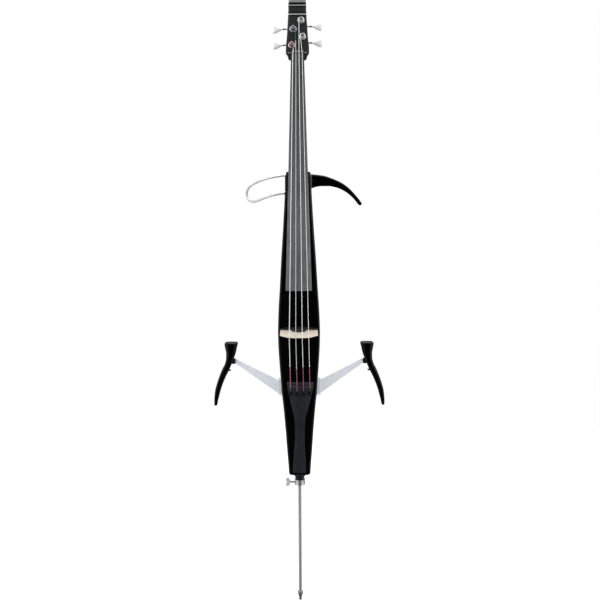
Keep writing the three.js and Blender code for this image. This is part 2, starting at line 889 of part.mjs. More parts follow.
// A gear on the post's axis, its teeth twisted along the face to follow the worm.
function makeGear(phase) {
  const root = gearRadius - gearRootShare * gearModule;
  const tip = gearRadius + gearTipShare * gearModule;
  const pitchAngle = (2 * Math.PI) / gearTeeth;
  const twist = (Math.tan(helixAngle) * gearFace) / gearRadius;
  const layers = [0, 1].map((share) => {
    const points = [];
    for (let tooth = 0; tooth < gearTeeth; tooth += 1) {
      const middle = phase + tooth * pitchAngle + twist * (share - halfShare);
      [
        [-halfShare, root],
        [-toothShare * toothBaseShare, root],
        [-toothShare * toothTipShare, tip],
        [toothShare * toothTipShare, tip],
        [toothShare * toothBaseShare, root],
      ].forEach(([offset, radius]) => {
        const angle = middle + offset * pitchAngle;
        points.push(at(radius * Math.sin(angle), share * gearFace, radius * Math.cos(angle)));
      });
    }
    return points;
  });
  return loft(layers).translate(0, gearNear, 0);
}

function makePost(phase) {
  const profile = [
    [0, -gearNear - gearFace - hubReach],
    [hubRadius, -gearNear - gearFace - hubReach],
    [hubRadius, hubReach - gearNear],
    [postRadius, hubReach - gearNear],
    [postRadius, waistStart - waistSlope],
    [postWaist, waistStart],
    [postWaist, postReach - capHeight - waistSlope],
    [postRadius, postReach - capHeight],
    [postRadius * capTopShare, postReach],
    [0, postReach],
  ];
  return joined(facingFront(turned(profile, smallSides)), makeGear(phase));
}

function makeBushing() {
  const bore = postRadius + turnGap;
  return facingFront(turned([
    [bore, -bushingDepth],
    [bushingSleeve, -bushingDepth],
    [bushingSleeve, seatGap],
    [bushingFlange, seatGap],
    [bushingFlange, bushingLift * bushingRimShare],
    [bushingFlange * bushingTopShare, bushingLift],
    [bore, bushingLift],
    [bore, -bushingDepth],
  ], smallSides));
}

// Plate on the head's back with a lug at each end of the worm.
function makeHousing(rise) {
  const low = Math.min(0, rise) - (rise > 0 ? 2 : 1) * lugHalf;
  const high = Math.max(0, rise) + (rise > 0 ? 1 : 2) * lugHalf;
  const near = headThickness + seatGap;
  const half = lugClear + lugGap + lugThickness;
  const plate = block(at(-half, near, low), at(half, near + plateThickness, high));
  const lugs = [-1, 1].map((side) => block(
    at(Math.min(side * half, side * (half - lugThickness)), near, rise - lugHalf),
    at(
      Math.max(side * half, side * (half - lugThickness)),
      gearMiddle + lugHalf,
      rise + lugHalf,
    ),
  ));
  const postHole = facingFront(rod(
    postRadius + turnGap,
    -near - plateThickness - cutOverrun,
    cutOverrun - near,
    smallSides,
  ));
  const shaftHole = facingSide(rod(shaftBore, -half - cutOverrun, half + cutOverrun, smallSides), 1)
    .translate(0, gearMiddle, rise);
  return cut(joined(plate, ...lugs), postHole, shaftHole);
}

// The worm's thread as one unbroken ridge about +X, sunk a little into its core.
function makeThread() {
  const steps = Math.round(wormTurns * wormStepsPerTurn);
  const tip = wormRadius + gearTipShare * gearModule;
  const base = wormCore * threadSinkShare;
  const sections = [
    [-toothBaseShare, base],
    [-toothTipShare, tip],
    [toothTipShare, tip],
    [toothBaseShare, base],
  ];
  const rings = Array.from({ length: steps + 1 }, (_, i) => {
    const share = i / steps;
    const angle = 2 * Math.PI * wormTurns * (share - halfShare);
    return sections.map(([offset, radius]) => at(
      wormLead * (wormTurns * (share - halfShare) + offset * toothShare),
      radius * Math.sin(angle),
      -radius * Math.cos(angle),
    ));
  });
  return loft(rings);
}

// Button outline: distance along it, half height and half thickness as shares of its own sizes
const buttonHalfHeight = 11.6;
const buttonHalfThickness = 2.8;
const buttonShares = [
  [0, 0.2, 1],
  [0.1, 0.27, 1],
  [0.3, 0.56, 0.95],
  [0.5, 0.83, 0.9],
  [0.75, 1, 0.85],
  [0.92, 0.92, 0.75],
  [1, 0.64, 0.45],
];
const buttonSides = 8;

// A key about the x axis, with its worm centred on the post and its button beyond the head's edge.
function makeKey({ side, postX }) {
  const inner = -side * (lugClear + lugGap + lugThickness + shaftProud);
  const start = side * (keyStart - postX);
  const bead = side * (beadPlace - postX);
  const length = keyEnd - keyStart;
  const ring = (x, halfHeight, halfThickness) => ovalPoints([0, 0], [halfThickness, halfHeight], buttonSides)
    .map(([y, z]) => at(x, y, z));
  const lugOuter = lugClear + lugGap + lugThickness + shaftProud;
  const rings = [
    ring(inner, shaftRadius, shaftRadius),
    ring(-side * lugClear, shaftRadius, shaftRadius),
    ring(-side * (lugClear - shoulder), wormCore, wormCore),
    ring(side * (lugClear - shoulder), wormCore, wormCore),
    ring(side * lugClear, shaftRadius, shaftRadius),
    ring(side * lugOuter, shaftRadius, shaftRadius),
    ring(bead - side * beadLength, shaftRadius, shaftRadius),
    ring(bead, beadRadius, beadRadius),
    ring(bead + side * beadLength, shaftRadius, shaftRadius),
    ...buttonShares.map(([share, high, thick]) => ring(
      start + side * length * share,
      buttonHalfHeight * high,
      buttonHalfThickness * thick,
    )),
  ];
  return joined(loft(rings), makeThread());
}

// Where along the worm the ridge faces the gear, so that a tooth gap lies on it.
const meshPhase = Math.PI / gearTeeth;
strings.forEach((string) => {
  const { name, side, postX, postHeight } = string;
  const rise = -side * gearDistance;
  const phase = side > 0 ? Math.PI + meshPhase : meshPhase;
  const tuner = new THREE.Group();
  tuner.position.set(side * postX, 0, postHeight);
  headGroup.add(tuner);
  piece(tuner, `tuner_housing_${name}`, makeHousing(rise), 'steel');
  piece(tuner, `tuner_bushing_${name}`, makeBushing(), 'chrome');
  piece(tuner, `tuner_post_${name}`, makePost(phase), 'chrome');
  const key = makeKey(string);
  if (side > 0) key.rotateX(Math.PI);
  piece(tuner, `tuner_key_${name}`, key.translate(0, gearMiddle, rise), 'chrome');
});

// Strings, each one unbroken wire from its last turn on the post to its fine tuner
const windingGap = 0.6;
const windingSteps = 24;
const stringSides = 6;
const windingDepth = 7.5;
const bridgeSeat = seatGap + (bridgeCrownThickness * halfShare) * Math.tan(tailLean);

function headPoint(x, y, z) {
  return at(x, y, z).applyMatrix4(headGroup.matrix);
}

function stringRoute({ side, postX, postHeight, diameter, turns, lane }) {
  const radius = diameter * halfShare;
  const coil = postWaist + turnGap + radius;
  const post = new THREE.Vector2(side * postX, postHeight);
  const nutX = lane * stringSpacingAtNut;
  const nutPoint = at(nutX, nutFront + archFall(nutX) - seatGap - radius, nutHeight);
  const nutInHead = nutPoint.clone().applyMatrix4(headGroup.matrix.clone().invert());
  const away = new THREE.Vector2(nutInHead.x, nutInHead.z).sub(post);
  const spread = Math.acos(coil / away.length());
  const leave = away.angle() - side * spread;
  const steps = Math.round(turns * windingSteps);
  const points = [];
  for (let i = steps; i >= 0; i -= 1) {
    const angle = leave - side * (2 * Math.PI * i) / windingSteps;
    const out = windingDepth + (i / windingSteps) * (diameter + windingGap);
    points.push(headPoint(
      post.x + coil * Math.cos(angle),
      -out,
      post.y + coil * Math.sin(angle),
    ));
  }
  const bridgeX = lane * stringSpacingAtBridge;
  const tailX = laneX(lane);
  const tailFall = archFall(tailX);
  const saddle = at(tailX, tailFall - saddleRise - seatGap - radius, -tailLength * saddleDropShare);
  const hook = at(tailX, tailFall - hookRise * halfShare, seatGap - hookDrop);
  points.push(
    nutPoint,
    at(bridgeX, archFall(bridgeX) - crownDepth - bridgeSeat - radius, crownHeight),
    saddle.applyMatrix4(tailGroup.matrix),
    hook.applyMatrix4(tailGroup.matrix),
  );
  return points;
}

// The least gap between parts of a winding that lie more than half a turn apart.
function leastGap(points, diameter, turns) {
  const count = Math.round(turns * windingSteps) + 1;
  let least = Infinity;
  for (let i = 0; i < count; i += 1) {
    for (let j = i + windingSteps / 2; j < count; j += 1) {
      least = Math.min(least, points[i].distanceTo(points[j]) - diameter);
    }
  }
  return least;
}

strings.forEach((string) => {
  const route = stringRoute(string);
  const gap = leastGap(route, string.diameter, string.turns);
  console.log(`string ${string.name}: least gap in its winding ${gap.toFixed(2)} mm`);
  piece(cello, `string_${string.name}`, bar(route, string.diameter * halfShare, stringSides), 'wire');
});

// Endpin with its rubber tip, socket, clamp and thumbscrew
const tipFlangeRadius = 7;
const tipFootRadius = 2.5;
const pointShare = 0.5;
const pointLength = 1.6;
const endpinBevel = 1;

// Rubber tip: radius and height, as shares of its flange and its height
const tipShares = [
  [0.69, 0.5],
  [0.85, 0.72],
  [1, 0.8],
  [1, 1],
];
piece(cello, 'endpin_tip', turned([
  [0, 0],
  [tipFootRadius, 0],
  ...tipShares.map(([radius, height]) => [tipFlangeRadius * radius, tipHeight * height]),
  [endpinRadius + seatGap, tipHeight],
  [endpinRadius * pointShare + seatGap, tipCupFloor + pointLength],
  [0, tipCupFloor],
], roundSides), 'rubber');
piece(cello, 'endpin_rod', turned([
  [0, tipCupFloor + seatGap * 2],
  [endpinRadius * pointShare, tipCupFloor + pointLength + seatGap * 2],
  [endpinRadius, tipHeight + seatGap],
  [endpinRadius, endpinTopAtRest - endpinBevel],
  [endpinRadius - endpinBevel, endpinTopAtRest],
  [0, endpinTopAtRest],
], roundSides), 'chrome');

// Socket: radius and drop below the body, as shares of its radius and its height
const socketShares = [
  [0.93, 1],
  [0.93, 0.88],
  [0.8, 0.72],
  [0.757, 0.52],
  [0.8, 0.32],
  [0.93, 0.12],
  [1, 0],
];
piece(cello, 'endpin_socket', turned([
  [endpinBore, bodyBottom - socketHeight + seatGap],
  ...socketShares.map(([radius, drop]) => [
    socketRadius * radius,
    bodyBottom - seatGap - (socketHeight - seatGap * 2) * drop,
  ]),
  [socketPlugRadius, bodyBottom - seatGap],
  [socketPlugRadius, bodyBottom + socketPlugLength - seatGap],
  [endpinBore, bodyBottom + socketPlugLength - seatGap],
  [endpinBore, bodyBottom - socketHeight + seatGap],
], roundSides), 'satinBlack');

const clampRadius = 13.4;
const clampBevel = 1;
const screwRadius = 2;
const screwHeadNear = 22.8;
const screwHeadFar = 36;
const screwHeadHalf = 11.4;
const screwHeight = endpinReach + clampHeight * halfShare;

function makeClamp() {
  const top = endpinReach + clampHeight;
  const collar = turned([
    [endpinBore, endpinReach],
    [clampRadius - clampBevel, endpinReach],
    [clampRadius, endpinReach + clampBevel],
    [clampRadius, top - clampBevel],
    [clampRadius - clampBevel, top],
    [endpinBore, top],
    [endpinBore, endpinReach],
  ], roundSides);
  const hole = facingSide(rod(screwRadius + turnGap, 0, clampRadius + cutOverrun, smallSides), -1)
    .translate(0, 0, screwHeight);
  return cut(collar, hole);
}

piece(cello, 'endpin_clamp', makeClamp(), 'chrome');

// Two-lobed head: distance from the shank, half height, half thickness, as shares
const wingShares = [
  [0, 0.3, 1],
  [0.15, 0.55, 1],
  [0.35, 0.9, 0.8],
  [0.65, 1, 0.7],
  [0.9, 0.9, 0.6],
  [1, 0.6, 0.4],
];
const wingHalfThickness = 3.2;
const notchShare = 0.42;
const notchOutShare = 0.12;

function makeThumbscrew() {
  const shank = facingSide(
    rod(screwRadius, endpinRadius + seatGap, screwHeadNear + shoulder, smallSides),
    -1,
  );
  const head = loft(wingShares.map(([share, high, thick]) => ovalPoints(
    [0, 0],
    [wingHalfThickness * thick, screwHeadHalf * high],
    buttonSides,
  ).map(([y, z]) => at(-lerp(screwHeadNear, screwHeadFar, share), y, z))));
  const notch = facingFront(
    rod(screwHeadHalf * notchShare, -wingHalfThickness * 2, wingHalfThickness * 2, smallSides),
  ).translate(-screwHeadFar - screwHeadHalf * notchOutShare, 0, 0);
  return cut(joined(shank, head), notch).translate(0, 0, screwHeight);
}

piece(cello, 'endpin_thumbscrew', makeThumbscrew(), 'chrome');

// Rod loop on the left: reach from the body's side, height and sweep back, as shares
const loopReach = 94.8;
const loopStraight = 1;
const loopDropRise = 64.7;
const loopSweep = 45;
const loopShares = [
  [0.0, 0, 0],
  [0.075, -0.012, 0],
  [0.29, -0.06, 0.03],
  [0.522, -0.14, 0.12],
  [0.75, -0.28, 0.33],
  [0.893, -0.402, 0.6],
  [0.971, -0.543, 0.86],
  [1, -0.695, 1],
  [0.975, -0.889, 0.97],
  [0.89, -0.992, 0.78],
  [0.786, -1, 0.55],
  [0.628, -0.921, 0.3],
  [0.435, -0.806, 0.12],
  [0.263, -0.736, 0.03],
  [0.1, -0.689, 0],
  [0.0, -0.668, 0],
];
const loopSteps = 30;
const loopSides = 8;

function makeLoop() {
  const sideX = -bodyHalfAt(loopLowerHeight) - loopStraight;
  const upper = loopUpperHeight;
  const route = loopShares.map(([out, drop, back]) => at(
    sideX - loopReach * out,
    loopDepth + loopSweep * back,
    upper + loopDropRise * drop,
  ));
  route[route.length - 1].z = loopLowerHeight;
  const curve = new THREE.CatmullRomCurve3(route, false, 'centripetal');
  const points = curve.getSpacedPoints(loopSteps);
  const legEnd = sideX + loopLegLength;
  return bar([
    at(legEnd, loopDepth, upper),
    at(sideX + loopStraight, loopDepth, upper),
    ...points,
    at(sideX + loopStraight, loopDepth, loopLowerHeight),
    at(legEnd, loopDepth, loopLowerHeight),
  ], loopRadius, loopSides);
}

piece(cello, 'left_frame_rod', makeLoop(), 'steel');

// Horn on the right: outer and inner edge points and half thickness, as shares
const hornReach = 121.5;
const hornDrop = 74.7;
const hornHalfThickness = 8;
const hornBelowTop = 6.1;
const hornTop = bodyTop - hornBelowTop;
const hornPlateThickness = 1.5;
const hornRootShare = 0.463;
const hornShares = [
  [0, 0, 0, -hornRootShare, 1],
  [0.07, -0.012, 0.07, -0.425, 1],
  [0.24, -0.052, 0.17, -0.397, 0.98],
  [0.41, -0.15, 0.32, -0.395, 0.95],
  [0.575, -0.272, 0.47, -0.437, 0.9],
  [0.74, -0.463, 0.61, -0.53, 0.85],
  [0.875, -0.696, 0.745, -0.677, 0.8],
  [0.95, -0.845, 0.85, -0.847, 0.75],
  [1, -0.975, 0.93, -1.01, 0.65],
  [0.985, -1.025, 0.948, -1.035, 0.4],
];
const hornCornerShare = 0.45;
const hornInsetShare = 0.22;

function hornRing([outerX, outerZ, innerX, innerZ, thick]) {
  const start = bodyHalfAt(loopLowerHeight) + seatGap * 2 + hornPlateThickness;
  const outer = at(start + hornReach * outerX, 0, hornTop + hornDrop * outerZ);
  const inner = at(start + hornReach * innerX, 0, hornTop + hornDrop * innerZ);
  const half = hornHalfThickness * thick;
  const flat = half * (1 - hornCornerShare);
  const inset = Math.min(hornInsetShare, (half * hornCornerShare) / outer.distanceTo(inner));
  const steps = [
    [0, -flat], [inset, -half], [1 - inset, -half], [1, -flat],
    [1, flat], [1 - inset, half], [inset, half], [0, flat],
  ];
  return steps.map(([share, depth]) => outer.clone().lerp(inner, share).setY(depth));
}

piece(cello, 'right_frame_horn', loft(hornShares.map(hornRing)), 'glossBlack');

const hornPlateHalf = 10;
const hornPlateTop = hornTop;
const hornPlateLow = hornTop - hornDrop * hornRootShare;
const hornSide = bodyHalfAt(loopLowerHeight) + seatGap;
piece(cello, 'horn_plate', block(
  at(hornSide, -hornPlateHalf, hornPlateLow),
  at(hornSide + hornPlateThickness, hornPlateHalf, hornPlateTop),
), 'aluminium');

// Knee supports: bracket on the body's side, pin, arm and pad
const hingeX = 50.5;
const hingeDepth = 5;
const armShare = 0.2692;
const armRootHeight = 33.3;
const armLow = bodyBottom + bodyLength * armShare;
const armHigh = armLow + armRootHeight;
const barrelRadius = 3.4;
const hingePinRadius = 1.6;
const hingeBore = 1.9;
const lugHeight = 3.4;
const lugSink = 0.5;
const pinHeadShare = 0.8;
const pinHeadHeight = 1.2;
const bracketFace = 47;
const bracketNear = -3;
const bracketFar = 15;
const bracketSteps = 8;
const armThickness = 4;
const padReach = 215;
const armTipShare = 0.744;
const bossFarShare = 0.805;
const armTipX = padReach * armTipShare;
const armLean = THREE.MathUtils.degToRad(17);
const armTipRise = 71.1;
const armTipHeight = 11;
const armTipLow = armLow + armTipRise;
const armTipHigh = armTipLow + armTipHeight;
const padDepthMiddle = hingeDepth + (armTipX - hingeX) * Math.tan(armLean);
const padHalfDepth = 15;
const padAboveArm = 42;
const padTop = armTipHigh + padAboveArm;
const padDrop = 160;

// Pad: height below its top, inner and outer edge and half depth, as shares
const padShares = [
  [0, 0.718, 0.862, 0.9],
  [0.018, 0.717, 0.873, 1],
  [0.074, 0.727, 0.867, 1],
  [0.168, 0.742, 0.854, 0.95],
  [0.232, 0.759, 0.854, 0.9],
  [0.336, 0.79, 0.87, 0.85],
  [0.425, 0.818, 0.903, 0.8],
  [0.543, 0.862, 0.939, 0.75],
  [0.652, 0.896, 0.967, 0.7],
  [0.76, 0.923, 0.988, 0.65],
  [0.86, 0.943, 0.997, 0.6],
  [0.93, 0.957, 1, 0.52],
  [0.972, 0.965, 0.998, 0.42],
  [1, 0.974, 0.992, 0.22],
];
const padCornerShare = 0.3;
const bossNear = armTipX + (armThickness * halfShare) * Math.sin(armLean) + seatGap;
const bossFar = padReach * bossFarShare;
const bossMargin = 2;
const bossHalfDepth = 6;

function makeBracket(side) {
  const low = armLow - seatGap - lugHeight;
  const high = armHigh + seatGap + lugHeight;
  const inner = Array.from({ length: bracketSteps + 1 }, (_, i) => {
    const height = lerp(high, low, i / bracketSteps);
    return [side * (bodyHalfAt(height) + seatGap), height];
  });
  const base = frontPlate([
    [side * bracketFace, low],
    [side * bracketFace, high],
    ...inner,
  ], bracketNear, bracketFar);
  const lugs = [[low, armLow - seatGap], [armHigh + seatGap, high]].map(([from, to]) => joined(
    rod(barrelRadius, from, to, smallSides).translate(side * hingeX, hingeDepth, 0),
    block(
      at(Math.min(side * hingeX, side * (bracketFace - lugSink)), hingeDepth - barrelRadius, from),
      at(Math.max(side * hingeX, side * (bracketFace - lugSink)), hingeDepth + barrelRadius, to),
    ),
  ));
  const bore = rod(hingeBore, low - cutOverrun, high + cutOverrun, smallSides)
    .translate(side * hingeX, hingeDepth, 0);
  return cut(joined(base, ...lugs), bore);
}

function makeHingePin(side) {
  const low = armLow - seatGap * 2 - lugHeight;
  const high = armHigh + seatGap * 2 + lugHeight;
  return turned([
    [0, low - pinHeadHeight],
    [barrelRadius * pinHeadShare, low - pinHeadHeight],
    [barrelRadius * pinHeadShare, low],
    [hingePinRadius, low],
    [hingePinRadius, high],
    [barrelRadius * pinHeadShare, high],
    [barrelRadius * pinHeadShare, high + pinHeadHeight],
    [0, high + pinHeadHeight],
  ], smallSides).translate(side * hingeX, hingeDepth, 0);
}

function makeArm(side) {
  const length = (armTipX - hingeX) / Math.cos(armLean);
  const plate = frontPlate([
    [side * hingePinRadius, armLow],
    [side * length, armTipLow],
    [side * length, armTipHigh],
    [side * (barrelRadius + seatGap), armHigh],
    [side * hingePinRadius, armHigh],
  ], -armThickness * halfShare, armThickness * halfShare);
  const barrel = rod(barrelRadius, armLow, armHigh, smallSides);
  const bore = rod(hingeBore, armLow - cutOverrun, armHigh + cutOverrun, smallSides);
  return cut(joined(plate, barrel), bore)
    .rotateZ(side * armLean)
    .translate(side * hingeX, hingeDepth, 0);
}

function padRing(side, [drop, inner, outer, deep]) {
  const height = padTop - padDrop * drop;
  const [from, to] = [padReach * inner, padReach * outer];
  const half = padHalfDepth * deep;
  const cornerX = (to - from) * padCornerShare;
  const cornerY = half * padCornerShare;
  return [
    [from + cornerX, -half], [to - cornerX, -half], [to, cornerY - half], [to, half - cornerY],
    [to - cornerX, half], [from + cornerX, half], [from, half - cornerY], [from, cornerY - half],
  ].map(([x, y]) => at(side * x, padDepthMiddle + y, height));
}

function makePad(side) {
  const pad = loft(padShares.map((row) => padRing(side, row)));
  const boss = block(
    at(Math.min(side * bossNear, side * bossFar), padDepthMiddle - bossHalfDepth, armTipLow - bossMargin),
    at(Math.max(side * bossNear, side * bossFar), padDepthMiddle + bossHalfDepth, armTipHigh + bossMargin),
  );
  return joined(pad, boss);
}

[['left', -1], ['right', 1]].forEach(([name, side]) => {
  piece(cello, `knee_bracket_${name}`, makeBracket(side), 'steel');
  piece(cello, `knee_hinge_pin_${name}`, makeHingePin(side), 'steel');
  piece(cello, `knee_arm_${name}`, makeArm(side), 'aluminium');
  piece(cello, `knee_pad_${name}`, makePad(side), 'rubber');
});

// Back cover with the battery's door, the controls and the jacks
const coverFront = bodyBackDepth - coverThickness;
const doorHalfWidth = 18;
const doorMargin = 8;
const doorLength = 60;
const doorLow = coverLow + doorMargin;
const doorHigh = doorLow + doorLength;
const doorEdgeGap = 1.5;
const doorHingeRadius = 1.3;
const doorHingeReach = 20;
const doorHingeRise = 2.2;
const doorHingeHeight = doorLow + doorHingeRise;
const doorHingeSink = 0.4;
const doorHingeDepth = bodyBackDepth - coverThickness * halfShare - doorHingeSink;
const knobShaftRadius = 3;
const toneRise = 132;
const volumeRise = 164;
const switchRise = 104;
const jackRise = 84;
const toneHeight = coverLow + toneRise;
const volumeHeight = coverLow + volumeRise;
const switchHeight = coverLow + switchRise;
const switchTravel = 3;
const switchHalfWidth = 3;
const switchHalfLength = 4;
const switchLift = 1;
const switchThickness = 3;
const jackHeight = coverLow + jackRise;
const lineJackX = -14;
const phoneJackX = 14;
const lineJackRadius = 5.5;
const lineJackBore = 3.25;
const phoneJackRadius = 4.2;
const phoneJackBore = 1.8;
const jackDepth = 18;
const jackFlangeWidth = 2;
const jackFlangeThickness = 1.6;

function backward(geometry) {
  return geometry.rotateX(-Math.PI / 2);
}

function coverHole(radius, x, height) {
  return backward(rod(radius, coverFront - cutOverrun, bodyBackDepth + cutOverrun, smallSides))
    .translate(x, 0, height);
}

function makeCover() {
  const plate = block(
    at(-coverHalfWidth, coverFront, coverLow),
    at(coverHalfWidth, bodyBackDepth, coverHigh),
  );
  const doorway = block(
    at(-doorHalfWidth - seatGap, coverFront - cutOverrun, doorLow - seatGap),
    at(doorHalfWidth + seatGap, bodyBackDepth + cutOverrun, doorHigh + seatGap),
  );
  const hingeSlot = block(
    at(-doorHingeReach - seatGap, coverFront - cutOverrun, doorHingeHeight - doorHingeRadius - turnGap),
    at(
      doorHingeReach + seatGap,
      doorHingeDepth + doorHingeRadius + turnGap,
      doorHingeHeight + doorHingeRadius + turnGap,
    ),
  );
  const slot = block(
    at(-switchHalfWidth * halfShare, coverFront - cutOverrun, switchHeight - switchTravel * 2 - seatGap),
    at(switchHalfWidth * halfShare, bodyBackDepth + cutOverrun, switchHeight + switchTravel * 2 + seatGap),
  );
  return cut(
    plate,
    doorway,
    hingeSlot,
    slot,
    coverHole(knobShaftRadius + turnGap, 0, toneHeight),
    coverHole(knobShaftRadius + turnGap, 0, volumeHeight),
    coverHole(lineJackRadius + seatGap, lineJackX, jackHeight),
    coverHole(phoneJackRadius + seatGap, phoneJackX, jackHeight),
  );
}

piece(cello, 'back_cover', makeCover(), 'satinBlack');

function makeDoor() {
  const panel = block(
    at(-doorHalfWidth, coverFront, doorLow + doorEdgeGap),
    at(doorHalfWidth, bodyBackDepth, doorHigh),
  );
  const trunnion = facingSide(rod(doorHingeRadius, -doorHingeReach, doorHingeReach, smallSides), 1)
    .translate(0, doorHingeDepth, doorHingeHeight);
  return joined(panel, trunnion);
}

piece(cello, 'battery_door', makeDoor(), 'plastic');

const batteryHalfWidth = 13.25;
const batteryLength = 48.5;
const batteryThickness = 17.5;
const batteryInset = 5;
const batteryLow = doorLow + batteryInset;
piece(cello, 'battery', block(
  at(-batteryHalfWidth, compartmentFloor + seatGap, batteryLow),
  at(batteryHalfWidth, compartmentFloor + seatGap + batteryThickness, batteryLow + batteryLength),
), 'cell');

const boardHalfWidth = 24;
const boardRise = 96;
const boardTopInset = 7;
const boardLow = coverLow + boardRise;
const boardHigh = coverHigh - boardTopInset;
const boardNear = 13;
const boardThickness = 1.6;
const boardPostRadius = 2.5;
const boardPostInset = 6;
const boardSink = 0.5;
const potHalf = 8;
const potHeight = 6;
const switchBaseHalfWidth = 5;
const switchBaseHalfLength = 7;
const potTop = boardNear + boardThickness + potHeight;

function makeBoard() {
  const board = block(
    at(-boardHalfWidth, boardNear, boardLow),
    at(boardHalfWidth, boardNear + boardThickness, boardHigh),
  );
  const posts = [-1, 1].flatMap((side) => [boardLow + boardPostInset, boardHigh - boardPostInset]
    .map((height) => backward(
      rod(boardPostRadius, compartmentFloor + seatGap, boardNear + boardSink, smallSides),
    ).translate(side * (boardHalfWidth - boardPostInset), 0, height)));
  const pots = [toneHeight, volumeHeight].map((height) => block(
    at(-potHalf, boardNear + boardSink, height - potHalf),
    at(potHalf, potTop, height + potHalf),
  ));
  const switchBase = block(
    at(-switchBaseHalfWidth, boardNear + boardSink, switchHeight - switchBaseHalfLength),
    at(switchBaseHalfWidth, potTop, switchHeight + switchBaseHalfLength),
  );
  return joined(board, ...posts, ...pots, switchBase);
}

piece(cello, 'circuit_board', makeBoard(), 'board');

const knobRadius = 8;
const knobHeight = 9;
const knobGap = 0.6;
const knobRimShare = 0.94;

function makeKnob(height) {
  const out = bodyBackDepth + knobGap;
  const shaftStart = potTop + seatGap;
  return backward(turned([
    [0, shaftStart],
    [knobShaftRadius, shaftStart],
    [knobShaftRadius, out],
    [knobRadius, out],
    [knobRadius * knobRimShare, out + knobHeight - shoulder],
    [knobRadius * knobTopShare, out + knobHeight],
    [0, out + knobHeight],
  ], roundSides)).translate(0, 0, height);
}

piece(cello, 'tone_knob', makeKnob(toneHeight), 'plastic');
piece(cello, 'volume_knob', makeKnob(volumeHeight), 'plastic');

const switchStemHalf = switchHalfWidth * halfShare - seatGap;
const switchNear = bodyBackDepth + knobGap;
piece(cello, 'reverb_switch', joined(
  block(
    at(-switchStemHalf, potTop + seatGap, switchHeight - switchTravel),
    at(switchStemHalf, switchNear + switchLift, switchHeight + switchTravel),
  ),
  block(
    at(-switchHalfWidth, switchNear, switchHeight - switchHalfLength),
    at(switchHalfWidth, switchNear + switchThickness, switchHeight + switchHalfLength),
  ),
), 'plastic');

function makeJack(radius, bore, x) {
  const out = bodyBackDepth + seatGap;
  const flange = radius + jackFlangeWidth;
  return backward(turned([
    [bore, out - jackDepth],
    [radius, out - jackDepth],
    [radius, out],
    [flange, out],
    [flange, out + jackFlangeThickness],
    [bore, out + jackFlangeThickness],
    [bore, out - jackDepth],
  ], smallSides)).translate(x, 0, jackHeight);
}

piece(cello, 'line_out_jack', makeJack(lineJackRadius, lineJackBore, lineJackX), 'chrome');
piece(cello, 'headphone_jack', makeJack(phoneJackRadius, phoneJackBore, phoneJackX), 'chrome');

export default cello;
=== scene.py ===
"""Looks of an electric cello: camera, light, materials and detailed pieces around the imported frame."""
import math
from bisect import bisect_right

import bmesh
import bpy
from mathutils import Matrix, Vector


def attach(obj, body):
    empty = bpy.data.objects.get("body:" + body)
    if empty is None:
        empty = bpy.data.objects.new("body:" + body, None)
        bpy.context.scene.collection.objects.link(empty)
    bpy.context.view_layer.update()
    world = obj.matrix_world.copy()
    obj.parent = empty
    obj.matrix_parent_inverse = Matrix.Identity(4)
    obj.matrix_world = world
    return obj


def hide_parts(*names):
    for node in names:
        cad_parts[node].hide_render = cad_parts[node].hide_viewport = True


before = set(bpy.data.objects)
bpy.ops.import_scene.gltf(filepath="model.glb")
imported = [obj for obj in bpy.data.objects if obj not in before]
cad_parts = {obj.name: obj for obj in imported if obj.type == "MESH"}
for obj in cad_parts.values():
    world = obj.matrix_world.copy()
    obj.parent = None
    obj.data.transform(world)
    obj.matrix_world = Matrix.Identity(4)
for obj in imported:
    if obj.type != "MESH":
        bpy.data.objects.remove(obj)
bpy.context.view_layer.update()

MM = 0.001
NAMES = ("c", "g", "d", "a")
GAP = 0.3
ARCH_R = 60

# The instrument's sizes in millimetres, as in its construction
STRING_LONG, STRING_BEHIND = 690, 116.5
BOTTOM, TOP = 327.2, 1082.4
HALF, FRONT, BACK = 51.9, 26.0, 32.0
CROWN_Z, CROWN_Y = 687.7, 118.3
LEAN = math.radians(8.58)
NUT_Z = CROWN_Z + STRING_LONG * math.cos(LEAN)
NUT_Y = STRING_LONG * math.sin(LEAN) - CROWN_Y
NUT_HALF, NUT_TALL, NUT_DEEP = 15.3, 5, 10
HEAD_LEAN = math.radians(13.2)
HEAD = Matrix.Translation((0, NUT_Y + NUT_DEEP, NUT_Z)) @ Matrix.Rotation(-HEAD_LEAN, 4, "X")
HEAD_LONG, HEAD_HALF, HEAD_THICK = 160.0, 28.6, 20.0
TAIL_LEAN, TAIL_SWING = math.radians(11.65), math.radians(0.84)
TAIL_X, TAIL_Y, TAIL_TOP = 2.6, 28 - CROWN_Y, CROWN_Z - STRING_BEHIND
TAIL = (Matrix.Translation((TAIL_X, TAIL_Y, TAIL_TOP))
        @ Matrix.Rotation(TAIL_LEAN, 4, "X") @ Matrix.Rotation(TAIL_SWING, 4, "Y"))
TAIL_LONG, TAIL_HALF, SADDLE_AT, SCREW_Z = 239.0, 32.2, 0.045, -28.6
BOARD_LONG, BOARD_NARROW, BOARD_WIDE = 572, 15.7, 31.8
BOARD_THIN, BOARD_THICK = 8, 14.5
BOARD_TOP = NUT_Z - GAP
BOARD_END = BOARD_TOP - BOARD_LONG

# For each string: its side of the head, its post's place there, its lane, and its wire's diameter and turns
SIDE = {"c": -1, "g": -1, "d": 1, "a": 1}
POST = {"c": (13.9, 20.0), "g": (10.4, 60.4), "d": (9.1, 82.6), "a": (12.4, 41.3)}
LANE = {"c": -1.5, "g": -0.5, "d": 0.5, "a": 1.5}
WIRE = {"c": (1.8, 1.5), "g": (1.4, 1.75), "d": (1.2, 2.0), "a": (1.0, 2.25)}
NUT_PITCH, CROWN_PITCH, TAIL_PITCH = 7.5, 15.6, 15.8


def lerp(a, b, t):
    return a + (b - a) * t


